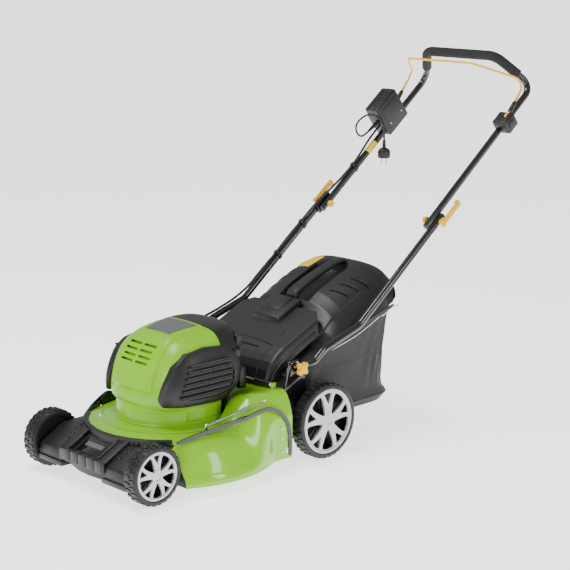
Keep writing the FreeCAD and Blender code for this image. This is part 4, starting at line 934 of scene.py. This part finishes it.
# %% Lid skin
LID_EDGE = [(0.182, 0.226), (0.226, 0.241), (0.300, 0.266), (0.368, 0.290), (0.432, 0.313), (0.520, 0.340),
            (0.600, 0.365), (0.636, 0.377)]
LID_CROWN = [(0.182, 0.238), (0.226, 0.262), (0.300, 0.305), (0.368, 0.341), (0.400, 0.382), (0.432, 0.403),
             (0.520, 0.438), (0.572, 0.456), (0.604, 0.461), (0.622, 0.455), (0.636, 0.438)]
LID_HALF = 0.1985


def between(table, value):
    """Straight-line interpolation in a table of pairs."""
    for (a, low), (b, high) in zip(table, table[1:]):
        if value <= b:
            return low + (high - low) * max(0, value - a) / (b - a)
    return table[-1][1]


def lid_height(x, y):
    edge, crown = between(LID_EDGE, y), between(LID_CROWN, y)
    square = 2.3 + 1.2 * smooth(y, 0.40, 0.52)
    round_over = max(0.0, 1 - abs(x / LID_HALF) ** square) ** 0.8
    return edge + (crown - edge) * round_over


def rear_round(x):
    """How far the lid's rear edge curves forward at its corners."""
    return 0.045 * abs(x / LID_HALF) ** 6


def lid_spot(u, v):
    x = LID_HALF * math.sin((2 * u - 1) * math.pi / 2)
    y = 0.186 + 0.450 * v
    z = lid_height(x, y)
    back = rear_round(x) * smooth(y, 0.54, 0.636)
    slot_half = 0.050 - 0.030 * smooth(y, 0.545, 0.590)
    slot = (1 - smooth(abs(x), slot_half, slot_half + 0.009)) * smooth(y, 0.398, 0.406) \
        * (1 - smooth(y, 0.572, 0.590))
    floor_z = 0.345 + 0.45 * (y - 0.40)
    z = z + (floor_z - z) * slot
    for i in range(4):
        rise_y = 0.425 + 0.034 * i
        inside = smooth(-x, 0.118, 0.121) * smooth(y, rise_y, rise_y + 0.003) * (1 - smooth(y, 0.555, 0.575))
        z -= 0.0042 * inside * (1 - smooth(y, rise_y + 0.026, rise_y + 0.034))
    shelf = smooth(x, 0.150, 0.153) * (1 - smooth(y, 0.50, 0.56)) * smooth(y, 0.30, 0.33)
    z -= 0.004 * shelf
    rim = smooth(y, 0.598, 0.602) * (1 - smooth(y, 0.606, 0.610))
    return Vector((x, y - back, z - 0.0022 * rim))


lid = skin(200, 200, lid_spot)
apply(lid, "SOLIDIFY", thickness=0.003, offset=-1)
for i in range(3):
    turn = Matrix.Translation((0.112 + 0.008 * i, 0.462 + 0.033 * i, 0)) @ Matrix.Rotation(math.radians(18), 4, "Z")
    slot = ease(block((-0.028, -0.0024, 0.3), (0.030, 0.0024, 0.5)), 0.001, 1)
    slot.data.transform(turn)
    carve(lid, slot)
lid_parts = [lid]
inner_lining = skin(60, 60, lambda u, v: lid_spot(u, v) - Vector((0, 0, 0.0085)))
for i in range(3):
    bump = ease(block((-0.012, -0.0018, -0.003), (0.016, 0.0018, 0.0012)), 0.0008, 1)
    x, y = 0.116 + 0.008 * i, 0.470 + 0.033 * i
    bump.data.transform(Matrix.Translation((x, y, lid_height(x, y) + 0.0002))
                        @ Matrix.Rotation(math.radians(18), 4, "Z") @ Matrix.Rotation(math.radians(16), 4, "Y"))
    lid_parts.append(bump)
for side in (1, -1):
    apron = ribbon([(side * 0.1982, y, z - 0.004) for y, z in LID_EDGE[:-1]], 0.006, 0.0028, (1, 0, 0))
    lid_parts.append(apron)
rear_apron = ribbon([(x, 0.6345 - rear_round(x), lid_height(x, 0.636) - 0.010)
                     for x in (-0.196, -0.187, -0.17, -0.12, -0.06, 0, 0.06, 0.12, 0.17, 0.187, 0.196)], 0.012, 0.003, (0, 1, 0))
lid_parts.append(rear_apron)
lid_top = joined(*lid_parts)
done(lid_top, "catcher_lid_shell", "catcher", "dark_plastic", grained_plastic, ["catcher_lid"])
apply(inner_lining, "SOLIDIFY", thickness=0.001, offset=-1)
done(inner_lining, "lid_lining", "catcher", "black_plastic", black_plastic)
carry = slab([(0.388, 0.366), (0.389, 0.397), (0.410, 0.4085), (0.452, 0.4260), (0.500, 0.4435),
              (0.552, 0.4590), (0.580, 0.4645), (0.592, 0.4610), (0.592, 0.449), (0.570, 0.4505),
              (0.540, 0.4445), (0.492, 0.4285), (0.448, 0.4115), (0.414, 0.3950), (0.404, 0.384),
              (0.402, 0.366)], "x", -0.0185, 0.0185)
done(ease(carry, 0.0048, 3, 25), "carry_handle", "catcher", "dark_plastic", grained_plastic)
print("lid: %d faces" % len(lid_top.data.polygons))
under_film = twin(lid_top, INTO_FRAME.inverted())
lid_film = laid_label([(-0.122, 0.528), (-0.068, 0.520), (-0.062, 0.582), (-0.112, 0.590)], under_film, 0.56)
bpy.data.objects.remove(under_film)
done(lid_film, "lid_film", "catcher", "yellow_plastic", label_yellow)

# %% [markdown]
# ## Grass bag
# The bag is black mesh cloth over a solid lower band, sewn to a wire frame under the lid. Its wall is
# one grid wrapped round: each level is a rounded rectangle, and the top follows the lid's edge. The
# cloth pulls in between the frame and the stiff floor rim and falls in soft folds, and a white cord is
# sewn along its upper seam.

# %% Bag wall and floor
BAG_REAR = [(0.092, 0.584), (0.104, 0.597), (0.116, 0.600), (0.130, 0.592), (0.150, 0.590), (0.220, 0.598),
            (0.300, 0.611), (0.376, 0.626)]
BAG_FRONT = 0.184


def bag_plan(turn, z, swell):
    """A point of the bag's wall at an angle round it."""
    rear = between(BAG_REAR, z)
    c, s = math.cos(turn), math.sin(turn)
    middle, depth = (BAG_FRONT + rear) / 2, (rear - BAG_FRONT) / 2
    x = (0.1925 + swell) * math.copysign(abs(c) ** (2 / 7.0), c)
    y = middle + (depth + swell) * math.copysign(abs(s) ** (2 / 7.0), s)
    return x, y


def bag_spot(u, v):
    turn = math.tau * u
    x, y = bag_plan(turn, 0.37, 0)
    top = between(LID_EDGE, y) - 0.001
    low = 0.094
    z = low + (top - low) * v
    pull = math.sin(math.pi * min(1, max(0, (z - 0.125) / (top - 0.125)))) if z > 0.125 else 0
    fold = 0.0016 * math.sin(17 * turn + 5 * v) + 0.0012 * math.sin(41 * turn - 9 * v)
    foot = 0.0045 * math.exp(-((z - 0.112) / 0.012) ** 2)
    x, y = bag_plan(turn, z, foot - pull * (0.0045 - fold))
    return Vector((x, y, z))


bag = skin(260, 80, bag_spot, wrap=True)
apply(bag, "SOLIDIFY", thickness=0.0012, offset=-1)
floor_levels = ((0.0, 0.094), (0.010, 0.0915), (0.026, 0.0905), (0.194, 0.0900))


def bag_floor(u, v):
    inset, z = floor_levels[round(3 * v)]
    x, y = bag_plan(math.tau * u, 0.094, -inset)
    return Vector((x, max(BAG_FRONT, y) if v < 1 else 0.385, z)) if v < 1 else Vector((0, 0.385, z))


base = skin(160, 3, bag_floor, wrap=True)
apply(base, "SOLIDIFY", thickness=0.0015, offset=1)


# %% Mesh cloth and band cloth
def mesh_cloth():
    """Knitted black mesh: rows of open cells about 3 mm apart, drawn coarse enough to show."""
    material = surface("knitted_black_mesh", "131314", 0.72, 1.0, 0.10, 0.15)
    tree = material.node_tree
    shader = tree.nodes["Principled BSDF"]
    place = add(tree, "TexCoord", {}).outputs["Object"]
    cells = add(tree, "TexVoronoi", {"Vector": place, "Scale": 330}, feature="DISTANCE_TO_EDGE")
    hole = add(tree, "MapRange", {"Value": cells.outputs["Distance"], "From Min": 0.05, "From Max": 0.32})
    tint = add(tree, "Mix", {"Factor": hole.outputs["Result"], 6: linear("3A3A3C"), 7: linear("0A0A0B")},
               data_type="RGBA")
    height = add(tree, "Math", {0: 1.0, 1: hole.outputs["Result"]}, operation="SUBTRACT")
    raised = add(tree, "Bump", {"Height": height.outputs["Value"], "Strength": 0.7, "Distance": 0.0006})
    tree.links.new(tint.outputs[2], shader.inputs["Base Color"])
    tree.links.new(raised.outputs["Normal"], shader.inputs["Normal"])
    return material


def woven_cloth():
    """Tight woven polyester: crossed threads 1.6 mm apart with a faint sheen."""
    material = surface("woven_black_polyester", "161617", 0.66, 1.0, 0.05, 0.15, Sheen_Weight=0.2)
    tree = material.node_tree
    place = add(tree, "TexCoord", {}).outputs["Object"]
    warp = add(tree, "TexWave", {"Vector": place, "Scale": 196}, wave_type="BANDS", bands_direction="Z")
    weft = add(tree, "TexWave", {"Vector": place, "Scale": 196}, wave_type="BANDS", bands_direction="DIAGONAL")
    both = add(tree, "Math", {0: warp.outputs["Fac"], 1: weft.outputs["Fac"]}, operation="ADD")
    raised = add(tree, "Bump", {"Height": both.outputs["Value"], "Strength": 0.5, "Distance": 0.0003})
    tree.links.new(raised.outputs["Normal"], tree.nodes["Principled BSDF"].inputs["Normal"])
    return material


mesh_finish, band_finish = mesh_cloth(), woven_cloth()
band = twin(bag, Matrix())
for piece, cut, normal in ((bag, (0, 0.3, 0.224), (0, 0.0, -1)), (band, (0, 0.3, 0.226), (0, 0.0, 1))):
    only(piece)
    bpy.ops.object.mode_set(mode="EDIT")
    bpy.ops.mesh.select_all(action="SELECT")
    bpy.ops.mesh.bisect(plane_co=cut, plane_no=normal, clear_outer=True)
    bpy.ops.object.mode_set(mode="OBJECT")
apply(band, "DISPLACE", strength=0.0006, mid_level=0)
done(bag, "bag_mesh_wall", "catcher", "bag_fabric", mesh_finish, ["catcher_bag"])
done(joined(band, base), "bag_solid_band", "catcher", "bag_fabric", band_finish)


# %% Piping, binding and stitches
def sewn_cord(spots, radius):
    """A round cord sewn on along a run of points."""
    bpy.ops.object.select_all(action="DESELECT")
    data = bpy.data.curves.new("sewn_cord", "CURVE")
    data.dimensions = "3D"
    data.bevel_depth = radius
    data.bevel_resolution = 2
    run = data.splines.new("POLY")
    run.points.add(len(spots) - 1)
    for point, spot in zip(run.points, spots):
        point.co = (*spot, 1)
    run.use_smooth = True
    piece = bpy.data.objects.new("sewn_cord", data)
    bpy.context.scene.collection.objects.link(piece)
    only(piece)
    bpy.ops.object.convert(target="MESH")
    return bpy.context.object


def seam_spot(y, side, lift=0.0):
    """Where the upper seam runs on a side wall, below the lid."""
    z = between([(0.186, 0.222), (0.352, 0.269), (0.454, 0.294), (0.520, 0.322), (0.626, 0.372)], y)
    v = (z - 0.094) / (between(LID_EDGE, y) - 0.095)
    low, high = (0.0, 0.25) if side > 0 else (0.25, 0.5)
    best = min((bag_spot(low + (high - low) * i / 400, v) for i in range(401)), key=lambda p: abs(p.y - y))
    return (best.x + side * (0.0012 + lift), y, z)


cords = []
for side in (1, -1):
    cords.append(sewn_cord([seam_spot(0.300 + 0.0105 * i, side) for i in range(31)], 0.0014))
done(joined(*cords), "bag_white_piping", "catcher", "bag_fabric", white_cord)
dashes = []
for side in (1, -1):
    for y in (0.548, 0.598):
        z = between(LID_EDGE, y) - 0.016
        dashes.append(sewn_cord([(side * 0.1945, y, z), (side * 0.1945, y + 0.020, z + 0.0075)], 0.0018))
done(joined(*dashes), "bag_reflex_dashes", "catcher", "bag_fabric", white_cord)
binding = sewn_cord([Vector((*bag_plan(math.tau * i / 160, 0.112, 0.004), 0.111)) for i in range(161)], 0.0035)
done(binding, "bag_floor_binding", "catcher", "bag_fabric", band_finish)

# %% [markdown]
# ## Handle tubes and grip
# The tubes are bent steel with a smooth powder coat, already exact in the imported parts, so copies of
# them are finished with a coat and closed by small end caps. A foam sleeve covers the bar.

# %% Tubes, caps and foam
SLOT = {entry["node"]: entry["material_slot"] for entry in frame["record"]["subparts"]}
LEG_FRAME = Matrix.Translation(CLAMP) @ Matrix.Rotation(LEG_ANGLE, 4, "X")


def on_leg(piece):
    """Turn a piece drawn in (x, reach, rise) into its place along the handle."""
    piece.data.transform(LEG_FRAME)
    return piece


def pointing(piece, place, direction):
    """Move a piece drawn along +Z so that it starts at a place and runs in a direction."""
    turn = Vector(direction).to_track_quat("Z", "Y").to_matrix().to_4x4()
    piece.data.transform(Matrix.Translation(place) @ turn)
    return piece


for node in ("lower_tube_left", "lower_tube_right", "upper_tube"):
    refined(node, "black_tube", black_coat)
refined("foam_grip", "foam", closed_foam, 0.0012)
CAP = [(0.0, -0.002), (0.0095, -0.002), (0.0102, 0.0), (0.0102, 0.003), (0.0, 0.004)]
for x, body in ((0.206, "upper_handle"), (0.230, "lower_handle")):
    for side in (1, -1):
        low_end = body == "upper_handle"
        spot = leg(-0.0215 if low_end else 0.0235, 0, side * x)
        cap = pointing(lathe(CAP, "z", steps=40), spot, -ALONG if low_end else ALONG)
        done(cap, "%s_cap_%d" % (body, side + 1), body, "black_plastic", black_plastic)
film = on_leg(lathe([(0.0101, -0.022), (0.01035, -0.022), (0.01035, 0.022), (0.0101, 0.022)], "z", steps=48))
film.data.transform(LEG_FRAME.inverted())
film.data.transform(LEG_FRAME @ Matrix.Translation((-0.206, 0.240, 0)) @ Matrix.Rotation(math.pi / 2, 4, "X"))
done(film, "tube_film", "upper_handle", "yellow_plastic", label_yellow)

# %% [markdown]
# ## Switch box and pivot box
# Both boxes are drawn square to the handle, in its own directions, and then turned on to it. Eased
# edges, a raised face, cooling ribs on the top, two screws and a pale joint line make the housing.

# %% Switch box
box_parts = [ease(block((-0.238, 0.312, -0.015), (-0.182, 0.412, 0.089)), 0.0065, 4)]
carve(box_parts[0], lathe([(0.0, -0.227), (0.016, -0.227), (0.016, -0.215), (0.0, -0.215)], "x",
                          (0, 0.408, 0.020), 48))
box_parts.append(ease(block((-0.184, 0.323, 0.0), (-0.1803, 0.401, 0.074)), 0.0018, 3))
for i in range(6):
    reach = 0.332 + 0.012 * i
    box_parts.append(ease(block((-0.231, reach, 0.086), (-0.189, reach + 0.005, 0.0912)), 0.0014, 2))
box_parts.append(ease(block((-0.236, 0.3095, 0.010), (-0.186, 0.314, 0.066)), 0.0018, 2))
box_parts.append(ease(block((-0.226, 0.4105, 0.036), (-0.194, 0.4145, 0.070)), 0.0018, 2))
done(on_leg(joined(*box_parts)), "switch_housing", "upper_handle", "black_plastic", black_plastic, ["switch_box"])
joint_line = carve(ease(block((-0.2104, 0.3117, -0.0153), (-0.2092, 0.4123, 0.0893)), 0.0066, 4),
                   block((-0.3, 0.3132, -0.0138), (-0.1, 0.4108, 0.0878)))
done(on_leg(joint_line), "switch_joint_line", "upper_handle", "dark_plastic", label_grey)
screws = []
for reach, rise in ((0.334, 0.018), (0.390, 0.018)):
    screw = lathe([(0.0, -0.1810), (0.0028, -0.1810), (0.0028, -0.1800), (0.0022, -0.1795), (0.0, -0.1795)],
                  "x", (0, reach, rise), 24)
    carve(screw, block((-0.1800, reach - 0.0023, rise - 0.0004), (-0.17, reach + 0.0023, rise + 0.0004)))
    screws.append(screw)
done(on_leg(joined(*screws)), "switch_screws", "upper_handle", "zinc_steel", zinc_plate)
refined("start_button", SLOT["start_button"], yellow_plastic, 0.0012)

# %% Pivot box
pivot_parts = [ease(block((0.190, 0.372, -0.014), (0.242, 0.420, 0.030)), 0.006, 4)]
carve(pivot_parts[0], lathe([(0.0, 0.215), (0.016, 0.215), (0.016, 0.227), (0.0, 0.227)], "x",
                            (0, 0.408, 0.020), 48))
pivot_parts.append(ease(lathe([(0.0, 0.240), (0.013, 0.240), (0.013, 0.2440), (0.0, 0.2440)], "x",
                              (0, 0.394, 0.008), 40), 0.001, 2))
pivot_parts.append(ease(block((0.196, 0.370, -0.006), (0.236, 0.374, 0.022)), 0.0015, 2))
done(on_leg(joined(*pivot_parts)), "pivot_housing", "upper_handle", "black_plastic", black_plastic, ["pivot_box"])

# %% [markdown]
# ## Bail, levers and knobs
# The bail is yellow wire whose ends are pressed into black sockets. The quick levers, nuts and star
# knobs are bright yellow plastic so that a hand finds them; all share one finish.

# %% Bail and yellow controls
refined("bail_bar", "yellow_wire", yellow_coat)
bail_pivot = leg(0.408, 0.020)
foot = bail_pivot + (leg(0.457, 0.032) - bail_pivot).normalized() * 0.009
rise_way = (Vector((0, 1.122, 0.946)) - foot).normalized()
SOCKET = [(0.0037, 0.0), (0.0066, 0.0), (0.0072, 0.003), (0.0072, 0.012), (0.0066, 0.014), (0.0070, 0.016),
          (0.0064, 0.030), (0.0052, 0.037), (0.0037, 0.037)]
sockets = []
for side in (1, -1):
    place = foot + rise_way * 0.007 + Vector((side * 0.221, 0, 0))
    sockets.append(pointing(lathe(SOCKET, "z", steps=40), place, rise_way))
done(joined(*sockets), "bail_sockets", "bail", "black_plastic", black_plastic)
for node in ("cam_lever_left", "cam_lever_right", "star_knob_left", "star_knob_right"):
    refined(node, "yellow_plastic", yellow_plastic, 0.0014)
refined("clamp_bolts", SLOT["clamp_bolts"], yellow_plastic, 0.0008)
refined("clamp_saddles", SLOT["clamp_saddles"], black_plastic, 0.0008)
for node in ("cable_clips_upper", "cable_clips_lower", "cable_gland"):
    refined(node, SLOT[node], black_plastic, 0.0004)

# %% [markdown]
# ## Cables
# The motor cable runs down the right leg in three lengths that meet at the two pivots, and a short
# lead hangs from the switch box to its plug. Each is a smooth curve through the same points as the
# packed cable, with a round section. The lead leaves through a ribbed rubber sleeve that tapers.

# %% Routes of the cables
def millimetres(*spot):
    return Vector(spot) / 1000


CABLE_TOP = leg(0.002, 0.0205, -0.215)
CABLE_TURN = millimetres(-202, 198, 285)
RELIEF_START, RELIEF_END = leg(0.312, 0.042, -0.205), leg(0.264, 0.0475, -0.205)
RELIEF_WAY = (RELIEF_END - RELIEF_START).normalized()
PLUG_TOP = millimetres(-170, 941, 752)
ROUTES = {
    "motor_cable_upper": [leg(0.312, 0.024, -0.210), leg(0.279, 0.024, -0.210), leg(0.240, 0.0225, -0.209),
                          leg(0.200, 0.0175, -0.207), leg(0.158, 0.0142, -0.206), leg(0.105, 0.0156, -0.206),
                          leg(0.052, 0.0185, -0.2085), leg(0.0024, 0.0205, -0.215)],
    "motor_cable_lower": [CABLE_TOP, leg(-0.0405, 0.0222, -0.2205), leg(-0.084, 0.0142, -0.230),
                          leg(-0.135, 0.0156, -0.2305), leg(-0.180, 0.0164, -0.230), leg(-0.226, 0.0146, -0.2295),
                          leg(-0.274, 0.0169, -0.229), leg(-0.322, 0.0174, -0.2295), leg(-0.366, 0.0160, -0.230),
                          millimetres(-230, 382, 339), millimetres(-230, 346, 327.5), millimetres(-230, 312, 316.5),
                          millimetres(-229, 280, 308.5), millimetres(-222, 252, 306),
                          millimetres(-207.5, 226.6, 301.5), CABLE_TURN],
    "motor_cable_tail": [CABLE_TURN - millimetres(0, 0.4, 0.2), millimetres(-197.2, 173, 270.6),
                         millimetres(-188, 150, 252), millimetres(-173, 133.5, 238),
                         millimetres(-155.5, 119, 232.3), millimetres(-139.6, 103.1, 232.3)],
    "plug_cord": [RELIEF_END, RELIEF_END + RELIEF_WAY * 0.023, millimetres(-205.5, 874.3, 765.9),
                  millimetres(-206.5, 860.2, 775.4), millimetres(-207, 854.4, 791.4), millimetres(-207, 859.1, 807.7),
                  millimetres(-204, 878.8, 823.1), millimetres(-197, 903, 833), millimetres(-184, 924, 825),
                  millimetres(-174, 938, 804), millimetres(-170, 941, 778), PLUG_TOP],
}


def lay_cable(node, radius, body):
    """A round cable along its route, as a smooth curve in the parts' frame."""
    data = bpy.data.curves.new(node + "_run", "CURVE")
    data.dimensions = "3D"
    data.bevel_depth = radius
    data.bevel_resolution = 4
    data.resolution_u = 8
    data.use_fill_caps = True
    run = data.splines.new("NURBS")
    run.points.add(len(ROUTES[node]) - 1)
    for point, spot in zip(run.points, ROUTES[node]):
        point.co = (*(INTO_FRAME @ spot), 1)
    run.order_u = 3
    run.use_endpoint_u = True
    cable = bpy.data.objects.new(node + "_run", data)
    bpy.context.scene.collection.objects.link(cable)
    data.materials.append(cable_rubber)
    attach(cable, body)
    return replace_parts(cable, node)


# %% Lay the cables
LAID = {"motor_cable_upper": ("upper_handle", 0.0035, 0.311), "motor_cable_lower": ("lower_handle", 0.0035, 0.626),
        "motor_cable_tail": ("deck", 0.0035, 0.131)}
for node, (body, radius, length) in LAID.items():
    cable = lay_cable(node, radius, body)
    print(node, "laid over %.3f m" % length)

# %% Plug, pins and strain relief
PLUG = [(0.0, 0.0), (0.0040, 0.0), (0.0054, -0.0015), (0.0054, -0.0045), (0.0044, -0.0055), (0.0044, -0.0070),
        (0.0056, -0.0080), (0.0056, -0.0105), (0.0046, -0.0115), (0.0046, -0.0130), (0.0060, -0.0140),
        (0.0060, -0.0170), (0.0050, -0.0180), (0.0062, -0.0225), (0.0140, -0.0255), (0.0168, -0.0300),
        (0.0190, -0.0370), (0.0190, -0.0505), (0.0176, -0.0535), (0.0, -0.0535)]
plug_body = lathe(PLUG, "z", PLUG_TOP, 64)
for turn in range(12):
    rib = block((0.0150, -0.0012, -0.0500), (0.0196, 0.0012, -0.0330))
    rib.data.transform(Matrix.Translation(PLUG_TOP) @ Matrix.Rotation(math.tau * turn / 12, 4, "Z"))
    plug_body = joined(plug_body, ease(rib, 0.0005, 1))
done(plug_body, "plug_body", "upper_handle", "black_plastic", black_plastic, ["plug"])
pins = [lathe([(0.0, -0.052), (0.0024, -0.052), (0.0024, -0.0715), (0.0016, -0.073), (0.0, -0.073)], "z",
              PLUG_TOP + Vector((x, 0, 0)), 24) for x in (-0.0095, 0.0095)]
done(joined(*pins), "plug_pins", "upper_handle", "zinc_steel", zinc_plate)
SLEEVE = [(0.0, 0.0), (0.0078, 0.0)]
for i in range(8):
    start, radius = 0.003 + 0.0052 * i, 0.0070 - 0.00036 * i
    SLEEVE += [(radius, start), (radius, start + 0.0030), (radius - 0.0012, start + 0.0034),
               (radius - 0.0012, start + 0.0048)]
SLEEVE += [(0.0042, 0.0460), (0.0036, 0.0482), (0.0, 0.0482)]
sleeve = pointing(lathe(SLEEVE, "z", steps=40), RELIEF_START, RELIEF_WAY)
done(sleeve, "lead_strain_relief", "upper_handle", "cable_sheath", cable_rubber, ["strain_relief"])
lead = lay_cable("plug_cord", 0.003, "upper_handle")

# %% [markdown]
# ## Motor, blade and small hardware
# What is left is mostly hidden under the hood and deck: the motor, its fan, the blade and the rivets.
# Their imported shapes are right, so each gets a merged copy and the finish of its material.

# %% Finish the remaining hardware
FINISHES = {"lime_paint": lime_enamel, "lime_plastic": lime_abs, "dark_plastic": grained_plastic,
            "black_plastic": black_plastic, "yellow_plastic": yellow_plastic, "yellow_wire": yellow_coat,
            "silver_trim": silver_paint, "black_tube": black_coat, "zinc_steel": zinc_plate,
            "spring_steel": spring_wire, "foam": closed_foam, "cable_sheath": cable_rubber,
            "motor_steel": winding_steel}
for node in sorted(frame["nodes"]):
    if not frame["nodes"][node].hide_render:
        refined(node, SLOT[node], FINISHES[SLOT[node]])
        print("finished", node)
